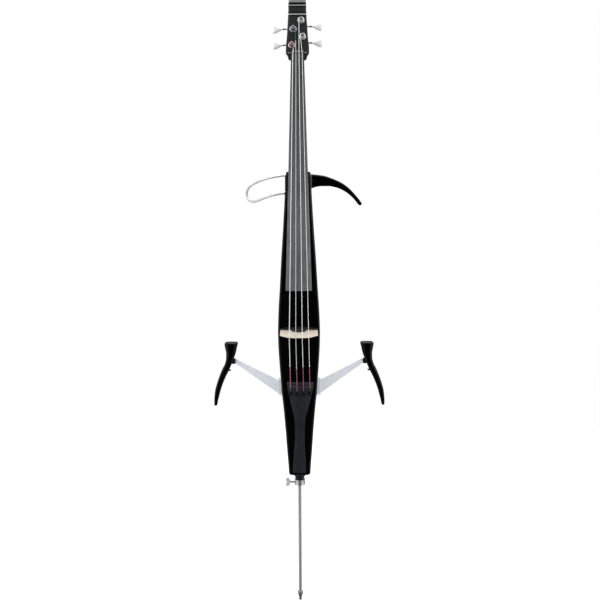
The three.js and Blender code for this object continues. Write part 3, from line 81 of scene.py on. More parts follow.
def spaced(a, b, n):
    """The ends of n even steps from a to b."""
    return [lerp(a, b, i / n) for i in range(n + 1)]


def circle(n):
    """Even angles round a circle."""
    return [2 * math.pi * k / n for k in range(n)]


def arch(x):
    """How far a surface arched across the instrument falls back at x."""
    return x * x / (2 * ARCH_R)


def through(rows):
    """A smooth function through a table's rows, without overshoot, of its first column."""
    xs = [r[0] for r in rows]
    n = len(rows)
    step = [xs[i + 1] - xs[i] for i in range(n - 1)]
    columns = []
    for k in range(1, len(rows[0])):
        ys = [r[k] for r in rows]
        rise = [(ys[i + 1] - ys[i]) / step[i] for i in range(n - 1)]
        slope = [rise[0]] + [0.0] * (n - 2) + [rise[-1]]
        for i in range(1, n - 1):
            if rise[i - 1] * rise[i] > 0:
                a, b = 2 * step[i] + step[i - 1], step[i] + 2 * step[i - 1]
                slope[i] = (a + b) / (a / rise[i - 1] + b / rise[i])
        columns.append((ys, slope))

    def at(x):
        i = min(max(bisect_right(xs, x) - 1, 0), n - 2)
        t = min(max((x - xs[i]) / step[i], 0), 1)
        out = []
        for ys, slope in columns:
            h00, h10 = (1 + 2 * t) * (1 - t) ** 2, t * (1 - t) ** 2
            h01, h11 = t * t * (3 - 2 * t), t * t * (t - 1)
            out.append(h00 * ys[i] + h10 * step[i] * slope[i]
                       + h01 * ys[i + 1] + h11 * step[i] * slope[i + 1])
        return out[0] if len(out) == 1 else out
    return at


def spline(points, steps):
    """Points along a smooth curve through the given ones, with a number of steps between each two."""
    p = [Vector(q) for q in points]
    p = [2 * p[0] - p[1]] + p + [2 * p[-1] - p[-2]]
    out = []
    for i in range(1, len(p) - 2):
        a, b, c, d = p[i - 1:i + 3]
        t = [0.0]
        for u, v in ((a, b), (b, c), (c, d)):
            t.append(t[-1] + max((v - u).length, 1e-9) ** 0.5)
        for k in range(steps):
            s = lerp(t[1], t[2], k / steps)
            a1, a2 = a.lerp(b, s / t[1]), b.lerp(c, (s - t[1]) / (t[2] - t[1]))
            a3 = c.lerp(d, (s - t[2]) / (t[3] - t[2]))
            b1, b2 = a1.lerp(a2, s / t[2]), a2.lerp(a3, (s - t[1]) / (t[3] - t[1]))
            out.append(b1.lerp(b2, (s - t[1]) / (t[2] - t[1])))
    return out + [p[-2]]


# Shapes in millimetres

class Shape:
    """Corners, faces and, for each face, the number of its material."""

    def __init__(self, verts, faces, slots=None):
        self.verts = [Vector(v) for v in verts]
        self.faces = [tuple(f) for f in faces]
        self.slots = slots or [0] * len(self.faces)

    def __add__(self, other):
        n = len(self.verts)
        return Shape(self.verts + other.verts, self.faces + [tuple(i + n for i in f) for f in other.faces],
                     self.slots + other.slots)

    def moved(self, *matrices):
        verts = self.verts
        for m in matrices:
            verts = [m @ v for v in verts]
        return Shape(verts, self.faces, self.slots)

    def painted(self, k):
        return Shape(self.verts, self.faces, [k] * len(self.faces))


def joined(shapes):
    return sum(shapes, Shape([], []))


def shift(x, y, z):
    return Matrix.Translation((x, y, z))


TO_FRONT = Matrix.Rotation(math.pi / 2, 4, "X")
TO_BACK = Matrix.Rotation(-math.pi / 2, 4, "X")


def to_side(side):
    return Matrix.Rotation(side * math.pi / 2, 4, "Y")


TINY = 1e-6


def loft(rings, ends=True, slots=None):
    """A skin over rings of equal length."""
    n = len(rings[0])
    verts = [v for r in rings for v in r]
    faces, paint = [], []
    for i in range(len(rings) - 1):
        for j in range(n):
            k = (j + 1) % n
            faces.append((i * n + j, i * n + k, (i + 1) * n + k, (i + 1) * n + j))
            paint.append(slots[i] if slots else 0)
    if ends:
        faces += [tuple(range(n)), tuple(range((len(rings) - 1) * n, len(rings) * n))]
        paint += [slots[0] if slots else 0, slots[-1] if slots else 0]
    return Shape(verts, faces, paint)


def lathe(profile, sides, knurl=None):
    """A profile of (radius, height) turned about Z; knurl cuts fine notches: (depth, low, high)."""
    rings = []
    for r, z in profile:
        notch = knurl[0] if knurl and knurl[1] - TINY <= z <= knurl[2] + TINY and r > TINY else 0
        radii = [r - notch * (j % 2) for j in range(sides)]
        rings.append([(q * math.cos(a), q * math.sin(a), z) for q, a in zip(radii, circle(sides))])
    return loft(rings, ends=False)


def rounded(profile, radius, steps):
    """A lathe's profile with its corners rounded."""
    out = [Vector(profile[0])]
    for i in range(1, len(profile) - 1):
        a, b, c = Vector(profile[i - 1]), Vector(profile[i]), Vector(profile[i + 1])
        u, v = a - b, c - b
        r = min(radius, u.length * 0.45, v.length * 0.45)
        if r < 1e-4 or u.length < TINY or v.length < TINY:
            out.append(b)
            continue
        p, q = b + u.normalized() * r, b + v.normalized() * r
        for k in range(steps + 1):
            t = k / steps
            out.append(p.lerp(b, t).lerp(b.lerp(q, t), t))
    out.append(Vector(profile[-1]))
    return [(max(v[0], 0), v[1]) for v in out]


def turned(profile, radius, sides, steps=2, knurl=None):
    """A lathe's shape with its corners rounded."""
    return lathe(rounded(profile, radius, steps), sides, knurl)


def pin(radius, low, high, sides=20):
    return lathe([(0, low), (radius, low), (radius, high), (0, high)], sides)


def tube(points, radius, sides, slots=None):
    """A round bar along points; radius is a number or one for each point."""
    p = [Vector(q) for q in points]
    radii = radius if hasattr(radius, "__len__") else [radius] * len(p)
    rings, side = [], None
    for i, q in enumerate(p):
        along = (p[min(i + 1, len(p) - 1)] - p[max(i - 1, 0)]).normalized()
        if side is None:
            side = along.orthogonal().normalized()
        side = (side - along * side.dot(along)).normalized()
        other = along.cross(side)
        rings.append([q + (side * math.cos(a) + other * math.sin(a)) * radii[i] for a in circle(sides)])
    return loft(rings, slots=slots)


def block(low, high):
    (x0, y0, z0), (x1, y1, z1) = low, high
    return loft([[(x0, y0, z), (x1, y0, z), (x1, y1, z), (x0, y1, z)] for z in (z0, z1)])


def plate(outline, near, far):
    """An outline of (x, z) made thick along y."""
    return loft([[(x, y, z) for x, z in outline] for y in (near, far)])


def bar_across(profile, left, right):
    """A profile of (y, z) made wide along x."""
    return loft([[(x, y, z) for y, z in profile] for x in (left, right)])


def oval(cx, cz, a, b, sides=24, turn=0.0):
    return [(cx + a * math.cos(t) * math.cos(turn) - b * math.sin(t) * math.sin(turn),
             cz + a * math.cos(t) * math.sin(turn) + b * math.sin(t) * math.cos(turn)) for t in circle(sides)]


def soft_box(half_x, half_y, corner, steps=5):
    """Corners of a rectangle with rounded corners, centred on the origin."""
    corner = min(corner, half_x, half_y)
    out = []
    for k, (sx, sy) in enumerate(((1, -1), (1, 1), (-1, 1), (-1, -1))):
        for i in range(steps + 1):
            a = math.pi / 2 * (i / steps + k - 1)
            out.append((sx * (half_x - corner) + corner * math.cos(a),
                        sy * (half_y - corner) + corner * math.sin(a)))
    return out


def flat_cut(outline, holes, thick, bevel):
    """A flat sheet of an outline of (x, y) with holes, thick along z from 0, its edges eased."""
    curve = bpy.data.curves.new("cut", "CURVE")
    curve.dimensions, curve.fill_mode = "2D", "BOTH"
    curve.extrude, curve.bevel_depth, curve.bevel_resolution = thick / 2 - bevel, bevel, 2
    curve.offset = -bevel
    for points in [outline, *holes]:
        s = curve.splines.new("POLY")
        s.points.add(len(points) - 1)
        for k, (x, y) in enumerate(points):
            s.points[k].co = (x, y, 0, 1)
        s.use_cyclic_u = True
    o = bpy.data.objects.new("cut", curve)
    bpy.context.scene.collection.objects.link(o)
    mesh = bpy.data.meshes.new_from_object(o.evaluated_get(bpy.context.evaluated_depsgraph_get()))
    out = Shape([v.co + Vector((0, 0, thick / 2)) for v in mesh.vertices],
                [p.vertices for p in mesh.polygons])
    bpy.data.objects.remove(o)
    bpy.data.meshes.remove(mesh)
    return out


MERGE, CLEAN = 1e-4, 1e-6


def raw_object(name, shape, materials=()):
    mesh = bpy.data.meshes.new(name)
    mesh.from_pydata([v * MM for v in shape.verts], [], shape.faces)
    for material in materials:
        mesh.materials.append(material)
    mesh.polygons.foreach_set("material_index", shape.slots)
    work = bmesh.new()
    work.from_mesh(mesh)
    bmesh.ops.remove_doubles(work, verts=work.verts, dist=MERGE * MM)
    bmesh.ops.dissolve_degenerate(work, edges=work.edges, dist=CLEAN * MM)
    bmesh.ops.recalc_face_normals(work, faces=work.faces)
    work.to_mesh(mesh)
    work.free()
    o = bpy.data.objects.new(name, mesh)
    bpy.context.scene.collection.objects.link(o)
    return o


def baked(o):
    """Applies an object's modifiers."""
    bpy.context.view_layer.update()
    mesh = bpy.data.meshes.new_from_object(o.evaluated_get(bpy.context.evaluated_depsgraph_get()))
    old = o.data
    o.modifiers.clear()
    o.data = mesh
    bpy.data.meshes.remove(old)
    mesh.name = o.name


def build(name, shape, materials, body="root", replaces=(), cutters=(), bevel=0.0, steps=2, sharp=38,
          even=True, limit=30):
    """A piece of the instrument from a shape, its cuts, its eased edges and its finish."""
    materials = materials if isinstance(materials, (list, tuple)) else [materials]
    o = raw_object(name, shape, materials)
    for cutter in cutters:
        c = raw_object("cutter", cutter)
        m = o.modifiers.new("cut", "BOOLEAN")
        m.operation, m.solver, m.object = "DIFFERENCE", "EXACT", c
        baked(o)
        bpy.data.objects.remove(c)
    if bevel:
        m = o.modifiers.new("ease", "BEVEL")
        m.width, m.segments = bevel * MM, steps
        m.limit_method, m.angle_limit = "ANGLE", math.radians(limit)
        m.use_clamp_overlap = True
        baked(o)
    mesh = o.data
    mesh.polygons.foreach_set("use_smooth", [True] * len(mesh.polygons))
    mesh.set_sharp_from_angle(angle=math.radians(sharp))
    if even:
        m = o.modifiers.new("even", "WEIGHTED_NORMAL")
        m.keep_sharp = True
        baked(o)
    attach(o, body)
    if replaces:
        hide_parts(*([replaces] if isinstance(replaces, str) else replaces))
    return o


# Materials: each varies in colour and roughness, and nearly all of them in their surface too

def set_sockets(tree, node, values):
    """Sets a node's sockets, or links them where the value is another node's socket."""
    for key, value in values.items():
        if isinstance(value, bpy.types.NodeSocket):
            tree.links.new(value, node.inputs[key])
        else:
            node.inputs[key].default_value = value


def add_node(tree, kind, result, values, **settings):
    """Adds a shader node and returns its output socket of the name result."""
    node = tree.nodes.new("ShaderNode" + kind)
    for key, value in settings.items():
        setattr(node, key, value)
    set_sockets(tree, node, values)
    return node.outputs[result]


def finish_of(name, dark, light, rough, metal=0.0, stretch=(1, 1, 1), scale=60.0, detail=4.0,
              spread=(0.35, 0.65), bump=0.0, bump_scale=400.0, bump_stretch=(1, 1, 1), depth=0.0004,
              specular=0.5, wave=None, flecks=None, sheen=0.0, anisotropic=0.0, fade=None):
    """A material: its colour runs from dark to light and its roughness between two values with one grain,
    its bump follows a finer grain or a wave's bands, flecks add a tint and fade darkens it upwards."""
    m = bpy.data.materials.new(name)
    m.use_nodes = True
    tree = m.node_tree
    place = tree.nodes.new("ShaderNodeTexCoord").outputs["Object"]

    def noise(factors, size, rich):
        mapped = add_node(tree, "Mapping", "Vector", {"Scale": factors, "Vector": place})
        return add_node(tree, "TexNoise", "Fac", {"Scale": size, "Detail": rich, "Vector": mapped})

    def ranged(value, low, high, first, last):
        return add_node(tree, "MapRange", "Result", {
            "Value": value, "From Min": low, "From Max": high, "To Min": first, "To Max": last})

    def ramp(factor, low, high, first=(0, 0, 0), last=(1, 1, 1)):
        colour = add_node(tree, "ValToRGB", "Color", {"Fac": factor})
        ends = colour.node.color_ramp.elements
        ends[0].position, ends[1].position = low, high
        ends[0].color, ends[1].color = (*first, 1), (*last, 1)
        return colour

    def mixed(factor, a, b, how="MIX"):
        return add_node(tree, "Mix", "Result", {"Factor": factor, "A": a, "B": b},
                        data_type="RGBA", blend_type=how)

    colour = ramp(noise(stretch, scale, detail), *spread, dark, light)
    if flecks:
        tint, size, factors, low, high = flecks
        colour = mixed(ramp(noise(factors, size, 3), low, high), colour, (*tint, 1))
    if fade:
        low, high, share = fade
        up = add_node(tree, "SeparateXYZ", "Z", {"Vector": place})
        colour = mixed(1.0, colour, ranged(up, low, high, 1.0, share), "MULTIPLY")
    values = {
        "Base Color": colour, "Roughness": ranged(noise(stretch, scale * 0.6, 2), 0.3, 0.7, *rough),
        "Metallic": metal, "Specular IOR Level": specular, "Sheen Weight": sheen, "Anisotropic": anisotropic}
    if bump and wave:
        direction, size, bend = wave
        height = add_node(tree, "TexWave", "Fac", {
            "Scale": size, "Distortion": bend, "Detail": 1, "Vector": place}, bands_direction=direction)
    elif bump:
        height = noise(bump_stretch, bump_scale, 3)
    if bump:
        sockets = {"Strength": bump, "Distance": depth, "Height": height}
        values["Normal"] = add_node(tree, "Bump", "Normal", sockets)
    set_sockets(tree, tree.nodes["Principled BSDF"], values)
    return m


def grey(v, blue=0.0):
    return (v, v * (1 + blue * 0.4), v * (1 + blue))


def plain(name, dark, light, rough, metal, scale, bump, bump_scale, depth, specular=0.5):
    """An even finish; dark and light are a grey, each with its share of blue."""
    return finish_of(name, grey(*dark), grey(*light), rough, metal, scale=scale, bump=bump,
                     bump_scale=bump_scale, depth=depth, specular=specular)


def brushed(name, dark, light, rough, metal, upright=False):
    """A metal brushed across, or upright."""
    grain, fine = [(1, 1, k) if upright else (k, 1, 1) for k in (0.05, 0.04)]
    return finish_of(name, grey(dark, 0.02), grey(light, 0.02), rough, metal, stretch=grain, scale=900,
                     bump=0.06, bump_scale=2600, bump_stretch=fine, depth=0.00006)


def silk(name, dark, light, size, sheen, stretch=(1, 1, 1)):
    """Thread wound slantwise in windings of a size."""
    return finish_of(name, dark, light, (0.5, 0.7), stretch=stretch, scale=900, bump=0.5,
                     wave=("DIAGONAL", size, 0.4), depth=0.0001, sheen=sheen)


lacquer = plain("body_lacquer", (0.0006,), (0.0012, 0.3), (0.03, 0.07), 0, 9, 0.012, 60, 0.0002, 0.3)
horn_lacquer = plain("horn_lacquer", (0.0006,), (0.0012,), (0.04, 0.08), 0, 14, 0.012, 90, 0.0002, 0.22)
satin_plastic = plain("black_moulding", (0.004,), (0.008,), (0.3, 0.44), 0, 300, 0.12, 1800, 0.0001, 0.35)
fine_plastic = plain("textured_plastic", (0.01,), (0.018,), (0.48, 0.62), 0, 500, 0.25, 2200, 0.00012)
pad_skin = plain("pad_rubber", (0.0005,), (0.0011,), (0.1, 0.18), 0, 240, 0.03, 700, 0.00012, 0.35)
foot_rubber = plain("foot_rubber", (0.012,), (0.025,), (0.6, 0.8), 0, 300, 0.3, 1200, 0.0002)
# Near-black for the fine tuners' knurled knobs, and for the painted shade of the dark bands across the head
knob_black_and_painted_shade = plain("knob_black_and_painted_shade", (0.0008,), (0.0016,), (0.3, 0.4), 0, 300, 0.03, 900, 0.0001, 0.1)
cell_skin = plain("cell_wrap", (0.07, 0.2), (0.12, 0.2), (0.3, 0.4), 0.3, 300, 0.04, 900, 0.0001)
chrome = plain("chrome_plate", (0.8,), (0.88, 0.02), (0.05, 0.12), 1, 120, 0.02, 500, 0.0001)
collar_chrome = plain("collar_chrome", (0.6,), (0.7, 0.02), (0.1, 0.18), 0.95, 120, 0.02, 500, 0.0001)
satin_chrome = plain("satin_chrome", (0.5,), (0.6, 0.02), (0.3, 0.42), 0.3, 400, 0.04, 1500, 0.00008)
button_chrome = plain("button_chrome", (0.9,), (0.96, 0.01), (0.2, 0.3), 0.5, 150, 0.02, 600, 0.0001)
bright_chrome = plain("ring_chrome", (0.7,), (0.8, 0.02), (0.2, 0.3), 0.9, 300, 0.03, 900, 0.00006)
shaft_steel = plain("shaft_steel", (0.3,), (0.42, 0.03), (0.16, 0.26), 1, 500, 0.04, 1800, 0.00006)
dark_steel = plain("dark_steel", (0.03, 0.1), (0.07, 0.1), (0.3, 0.4), 0.7, 700, 0.05, 2000, 0.00006)
loop_steel = plain("polished_rod", (0.66,), (0.72, 0.02), (0.14, 0.22), 0.45, 260, 0.01, 400, 0.00008)
pale_alloy = plain("pale_alloy", (0.86, 0.01), (0.94, 0.01), (0.35, 0.48), 0.1, 700, 0.05, 2400, 5e-5, 0.45)
alloy = plain("anodised_alloy", (0.6, 0.12), (0.7, 0.14), (0.38, 0.5), 0.2, 800, 0.1, 3000, 0.00006, 0.45)
# Light grey for the two narrow bands across the head: painted highlight lines
painted_highlight_trim = brushed("painted_highlight_trim", 0.38, 0.48, (0.3, 0.4), 0.5)
# Mid grey for the wide band at the head's crown: painted reflection of light from above
painted_reflection_cap = brushed("painted_reflection_cap", 0.19, 0.26, (0.35, 0.45), 0.4)
plate_alloy = brushed("plate_alloy", 0.45, 0.56, (0.3, 0.4), 0.3, upright=True)
silk_tail = silk("red_silk", (0.16, 0.018, 0.05), (0.4, 0.07, 0.145), 700.0, 0.3, (1, 1, 0.4))
silk_red = silk("pink_silk", (0.2, 0.02, 0.04), (0.5, 0.12, 0.16), 800.0, 0.3)
silk_teal = silk("teal_silk", (0.01, 0.035, 0.035), (0.03, 0.09, 0.085), 800.0, 0.2)
white_mark = finish_of("mark_white", grey(0.6), grey(0.75), (0.4, 0.6), scale=500)
floor_paper = finish_of("floor_paper", grey(0.9), grey(0.93), (0.7, 0.8), scale=3, specular=0.2)
satin_wood = finish_of(
    "neck_satin", grey(0.007, 0.1), grey(0.0125, 0.15), (0.3, 0.42), stretch=(1, 1, 0.12), scale=420,
    bump=0.1, bump_scale=900, bump_stretch=(1, 1, 0.06), depth=0.00015, specular=0.32)
board_wood = finish_of(
    "fingerboard_grain", grey(0.066, 0.04), grey(0.118, 0.06), (0.34, 0.5), stretch=(1, 1, 0.03), scale=210,
    detail=6, spread=(0.3, 0.7), bump=0.15, bump_scale=1300, bump_stretch=(1, 1, 0.03), depth=0.00015,
    flecks=(grey(0.045), 900, (1, 1, 0.02), 0.6, 0.78), specular=0.35, fade=(1.0, 1.36, 0.38))
nut_wood = finish_of(
    "nut_ebony", grey(0.006), grey(0.02), (0.25, 0.4), stretch=(0.1, 1, 1), scale=700, bump=0.1,
    bump_scale=1200, depth=0.0001)
maple = finish_of(
    "maple_grain", (0.56, 0.47, 0.34), (0.76, 0.7, 0.62), (0.42, 0.6), stretch=(0.12, 1, 1), scale=520,
    detail=5, spread=(0.3, 0.62), bump=0.15, bump_scale=1500, bump_stretch=(0.08, 1, 1), depth=0.0001,
    flecks=((0.4, 0.27, 0.16), 210, (0.35, 1, 1), 0.62, 0.76), specular=0.4)
tail_grey = finish_of(
    "tail_composite", (0.0075, 0.011, 0.0145), (0.012, 0.017, 0.022), (0.3, 0.42), scale=130, detail=6,
    bump=0.08, bump_scale=1600, depth=0.00012, specular=0.3)
socket_black = finish_of(
    "socket_black", (0.002, 0.003, 0.0045), (0.004, 0.006, 0.008), (0.14, 0.24), scale=200, bump=0.05,
    bump_scale=900, depth=0.0001, specular=0.4)
# Light grey for painted highlight on the nut's upper edge and on the strip at the head's lower edge
painted_highlight_grey = finish_of(
    "painted_highlight_edge", grey(0.2, 0.03), grey(0.34, 0.03), (0.35, 0.5), stretch=(0.1, 1, 1), scale=600, bump=0.06,
    bump_scale=1500, depth=0.00008)
steel = finish_of(
    "brushed_steel", grey(0.42), grey(0.58, 0.02), (0.2, 0.32), 1.0, stretch=(1, 1, 0.08), scale=900,
    bump=0.08, bump_scale=2600, bump_stretch=(1, 1, 0.05), depth=0.00008, anisotropic=0.3)
rod_steel = finish_of(
    "ground_rod", grey(0.46), grey(0.6, 0.02), (0.16, 0.26), 0.9, stretch=(1, 1, 0.2), scale=700,
    bump=0.05, bump_scale=2400, bump_stretch=(0.2, 0.2, 1), depth=0.00006)
mask_green = finish_of(
    "solder_mask", (0.006, 0.07, 0.03), (0.012, 0.14, 0.06), (0.25, 0.4), stretch=(1, 1, 0.25), scale=420,
    bump=0.1, bump_scale=900, depth=0.0001)
WIRES = {n: finish_of("wire_" + n, grey(tone), grey(min(tone * 1.06, 1), 0.02), (0.38, 0.48), 0.2, scale=500,
                      bump=0.012, wave=("Z", 900.0, 0.0), depth=0.00003)
         for n, tone in (("c", 0.74), ("g", 0.58), ("d", 0.92), ("a", 0.96))}

# The camera stands in front and a little above, as in the photograph
TARGET = Vector((0.0029, -0.026, 0.76834))
CAMERA_AWAY, CAMERA_TILT, CAMERA_ROLL = 3.5, math.radians(6.4), math.radians(-0.31)
LENS, SENSOR = 85.26, 36.0
camera_data = bpy.data.cameras.new("camera")
camera_data.lens, camera_data.sensor_width = LENS, SENSOR
camera_data.clip_end = 60
camera = bpy.data.objects.new("camera", camera_data)
bpy.context.scene.collection.objects.link(camera)
backward = Vector((0, -math.cos(CAMERA_TILT), math.sin(CAMERA_TILT)))
camera.matrix_world = (Matrix.Translation(TARGET + CAMERA_AWAY * backward)
                       @ Matrix.Rotation(math.pi / 2 - CAMERA_TILT, 4, "X")
                       @ Matrix.Rotation(CAMERA_ROLL, 4, "Z"))
bpy.context.scene.camera = camera

# Body shell with its recesses
BODY_ROWS = [
    (0, 0.42, 0.86, 0.48), (0.0028, 0.485, 0.95, 0.56), (0.0075, 0.515, 1, 0.62), (0.0215, 0.527, 1, 0.66),
    (0.0774, 0.588, 1, 0.78), (0.1581, 0.674, 1, 0.89), (0.2384, 0.775, 1, 0.97), (0.2786, 0.842, 1, 1),
    (0.3186, 0.882, 1, 1), (0.3983, 0.96, 1, 1), (0.4382, 0.99, 1, 1), (0.4777, 1, 1, 1),
    (0.5569, 0.9615, 1, 1), (0.6162, 0.906, 1, 1), (0.7143, 0.825, 1, 0.96), (0.8121, 0.732, 1, 0.9),
    (0.89, 0.665, 1, 0.84), (0.9482, 0.626, 1, 0.79), (0.9751, 0.624, 1, 0.77), (0.9935, 0.6, 0.98, 0.75),
    (1, 0.555, 0.9, 0.68)]
body_at = through(BODY_ROWS)


def body_half(z):
    return HALF * body_at((z - BOTTOM) / (TOP - BOTTOM))[0]


EDGE_FRONT, EDGE_BACK, EDGE_DEEP = 5, 14, 24


def body_ring(share):
    """A section of the body: small round edges in front and a deep round back."""
    width, front, back = body_at(share)
    half, y0, y1 = HALF * width, -FRONT * front, BACK * back
    deep = min(EDGE_DEEP, y1 - y0 - 2 * EDGE_FRONT)
    z = lerp(BOTTOM, TOP, share)
    right = [(half - EDGE_FRONT * (1 - math.sin(a)), y0 + EDGE_FRONT * (1 - math.cos(a)), z)
             for a in (math.pi / 2 * i / 6 for i in range(7))]
    right += [(half - EDGE_BACK * (1 - math.cos(a)), y1 - deep * (1 - math.sin(a)), z)
              for a in (math.pi / 2 * i / 12 for i in range(13))]
    return right + [(-x, y, z) for x, y, z in reversed(right)]


COVER_LOW, COVER_HIGH, COVER_HALF, COVER_Y = 595.6, 785.6, 30, BACK - 2.5
FOOT_HALF, FOOT_LONG, FOOT_SEAT = 19, 45, 4
LEG_Y, LEG_HEIGHTS = 12.5, (TOP - 9.1, TOP - 52.3)
LEG_X = -body_half(LEG_HEIGHTS[1])
body_shares = sorted({r[0] for r in BODY_ROWS} | {0.0006, 0.0014, 0.005, 0.015, 0.98, 0.985, 0.997, 0.9988}
                     | {i / 60 for i in range(2, 59)})
build("body_shell_shaped", loft([body_ring(s) for s in body_shares]), lacquer,
      replaces="body_shell", cutters=[
          block((-COVER_HALF - GAP, COVER_Y - GAP, COVER_LOW - GAP),
                (COVER_HALF + GAP, 40, COVER_HIGH + GAP)),
          block((-26, 8, COVER_LOW + 4), (26, 34, COVER_HIGH - 4)),
          block((-FOOT_HALF - GAP, -32, TOP - FOOT_LONG - GAP),
                (FOOT_HALF + GAP, FOOT_SEAT + GAP, TOP + 5)),
          *[pin(3.3, -44, 40).moved(to_side(-1), shift(LEG_X, LEG_Y, z)) for z in LEG_HEIGHTS],
      ], sharp=30)

# Head, neck and the foot of the neck
head_width = through([
    (-0.098, 0.5), (-0.092, 0.62), (-0.085, 0.7), (-0.075, 0.765), (-0.064, 0.79), (-0.033, 0.82),
    (-0.005, 0.89), (0.014, 0.975), (0.035, 1), (0.12, 0.985), (0.24, 0.912), (0.45, 0.835), (0.64, 0.771),
    (0.74, 0.753), (0.85, 0.71), (0.95, 0.66), (1.0, 0.635)])
head_front = [
    (-0.098, 0.5), (-0.093, 0.34), (-0.086, 0.24), (-0.078, 0.17), (-0.055, 0.11), (-0.03, 0.06),
    (-0.016, -0.02), (-0.008, -0.038), (0, -0.035), (0.008, 0), (0.6, 0), (0.622, -0.02), (0.628, -0.1),
    (0.634, -0.19), (0.66, -0.21), (0.732, -0.25), (0.738, -0.31), (0.746, -0.39), (0.79, -0.45),
    (0.84, -0.475), (0.89, -0.44), (0.93, -0.36), (0.965, -0.2), (0.985, -0.03), (0.996, 0.18), (1.0, 0.36)]
head_back = through([
    (-0.098, 0.62), (-0.09, 0.8), (-0.075, 0.92), (-0.045, 0.99), (0.0, 1), (0.2, 1), (0.5, 0.9),
    (0.62, 0.86), (0.75, 0.86), (0.86, 0.93), (0.92, 0.86), (0.955, 0.76), (0.98, 0.64), (1.0, 0.44)])
head_front_at = through(head_front)


def head_ring(s, grow=0.0):
    half = HEAD_HALF * head_width(s) + grow
    y0, y1 = HEAD_THICK * head_front_at(s) - grow, HEAD_THICK * head_back(s) + grow
    middle, deep = (y0 + y1) / 2, (y1 - y0) / 2
    return [(x, y + middle, s * HEAD_LONG) for x, y in soft_box(half, deep, min(3.2, deep * 0.8), 5)]


head_shares = sorted({r[0] for r in head_front} | {i / 50 for i in range(-4, 50)} | {-0.095, -0.089})
head = loft([head_ring(s) for s in head_shares]).moved(HEAD)


def board_share(z):
    return (BOARD_TOP - z) / BOARD_LONG


def board_half(z):
    return lerp(BOARD_NARROW, BOARD_WIDE, board_share(z))


def board_front(z):
    return NUT_Y - (NUT_Z - z) * math.tan(LEAN) + lerp(1, 6, board_share(z))


def board_under(z):
    return lerp(board_front(BOARD_TOP) + BOARD_THIN, board_front(BOARD_END) + BOARD_THICK, board_share(z))


NECK_THIN, NECK_THICK = 20.5, 58
neck_depth = through([
    (0, 0), (0.06, 0), (0.45, 0.01), (0.72, 0.02), (0.82, 0.06), (0.89, 0.2), (0.94, 0.42), (0.975, 0.7),
    (1, 1)])


def neck_ring(share):
    z = lerp(NUT_Z + 4, TOP + GAP, share)
    d = neck_depth(share)
    half = (board_half(z) - 0.6) * lerp(1, 0.9, d)
    front, deep = board_under(z) + GAP, lerp(NECK_THIN, NECK_THICK, d)
    return [(half * math.cos(a), front + deep * max(math.sin(a), 0) ** 0.75, z)
            for a in (math.pi * (1 - math.cos(math.pi * i / 32)) / 2 for i in range(33))]


neck = loft([neck_ring(i / 40) for i in range(33)] + [neck_ring(0.8 + 0.2 * i / 24) for i in range(1, 25)])
low, high = TOP - FOOT_LONG, TOP + 5
foot = bar_across([(board_under(low) + GAP, low), (FOOT_SEAT, low), (FOOT_SEAT, high),
                   (board_under(high) + GAP, high)], -FOOT_HALF, FOOT_HALF)
build("head_and_crown", head, satin_wood, replaces="neck", sharp=42)
build("neck_handle", neck, satin_wood, sharp=50)
build("neck_foot", foot, satin_wood, bevel=0.5)
# Bands round the head: near-black painted shade beside light grey painted highlights, and a wide grey painted
# reflection at the crown
for name, low, high, grow, material in (
        # Near-black bands: painted shade below and above the light bands
        ("painted_shade_band_one", 0.577, 0.5965, 0.12, knob_black_and_painted_shade),
        ("painted_shade_band_two", 0.6215, 0.641, 0.12, knob_black_and_painted_shade),
        ("painted_shade_band_three", 0.713, 0.7295, 0.12, knob_black_and_painted_shade),
        ("painted_shade_band_four", 0.7465, 0.776, 0.12, knob_black_and_painted_shade),
        # Light grey bands: painted highlight lines
        ("highlight_band_low", 0.597, 0.621, 0.45, painted_highlight_trim), ("highlight_band_high", 0.73, 0.746, 0.4, painted_highlight_trim),
        # Mid grey band round the crown: painted reflection
        ("reflection_band_wide", 0.7765, 0.835, 0.4, painted_reflection_cap)):
    slope = (high - low) * 0.2
    band = [head_ring(s, g) for s, g in ((low, 0.0), (low + slope, grow), (high - slope, grow), (high, 0.0))]
    build("head_" + name, loft(band).moved(HEAD), material, sharp=60)
# A light grey strip across the head's lower edge: painted highlight
lip = bar_across([(-1.0, 0.1), (-1.15, 0.5), (-0.7, 1.3), (0.4, 1.6), (0.4, -0.6)], -23, 23)
build("head_highlight_strip", lip.moved(HEAD), painted_highlight_grey, bevel=0.12)

# Fingerboard and nut


def board_ring(z):
    half = board_half(z)
    top = [(x, board_front(z) + arch(x), z) for x in spaced(-half, half, 20)]
    return top + [(half, board_under(z), z), (-half, board_under(z), z)]


board = loft([board_ring(z) for z in spaced(BOARD_TOP, BOARD_END, 12)])
build("fingerboard_arched", board, board_wood, replaces="fingerboard", bevel=0.7, steps=3)


def nut_ring(share):
    z = NUT_Z + NUT_TALL * share
    fall = 5 * share * math.tan(HEAD_LEAN + math.radians(7)) + 5 * max(share - 0.8, 0)
    lanes = [NUT_PITCH * LANE[n] for n in NAMES]
    xs = sorted({*spaced(-NUT_HALF, NUT_HALF, 24)}
                | {x + d for x in lanes for d in (-1.3, -0.9, 0, 0.9, 1.3)})
    top = []
    for x in xs:
        dip = max([0.0] + [0.28 * (1 - abs(x - lane) / 1.2) for lane in lanes if abs(x - lane) < 1.2])
        top.append((x, NUT_Y + arch(x) + fall + dip, z))
    seat = NUT_Y + NUT_DEEP * 0.91 - GAP
    return top + [(NUT_HALF, seat, z), (-NUT_HALF, seat, z)]


# The nut's upper band and end face are light grey: painted highlight along its edge
build("nut_grooved", loft([nut_ring(s) for s in (0, 0.25, 0.8, 1)], slots=[0, 0, 1]), [nut_wood, painted_highlight_grey],
      replaces="nut", bevel=0.4, limit=50)

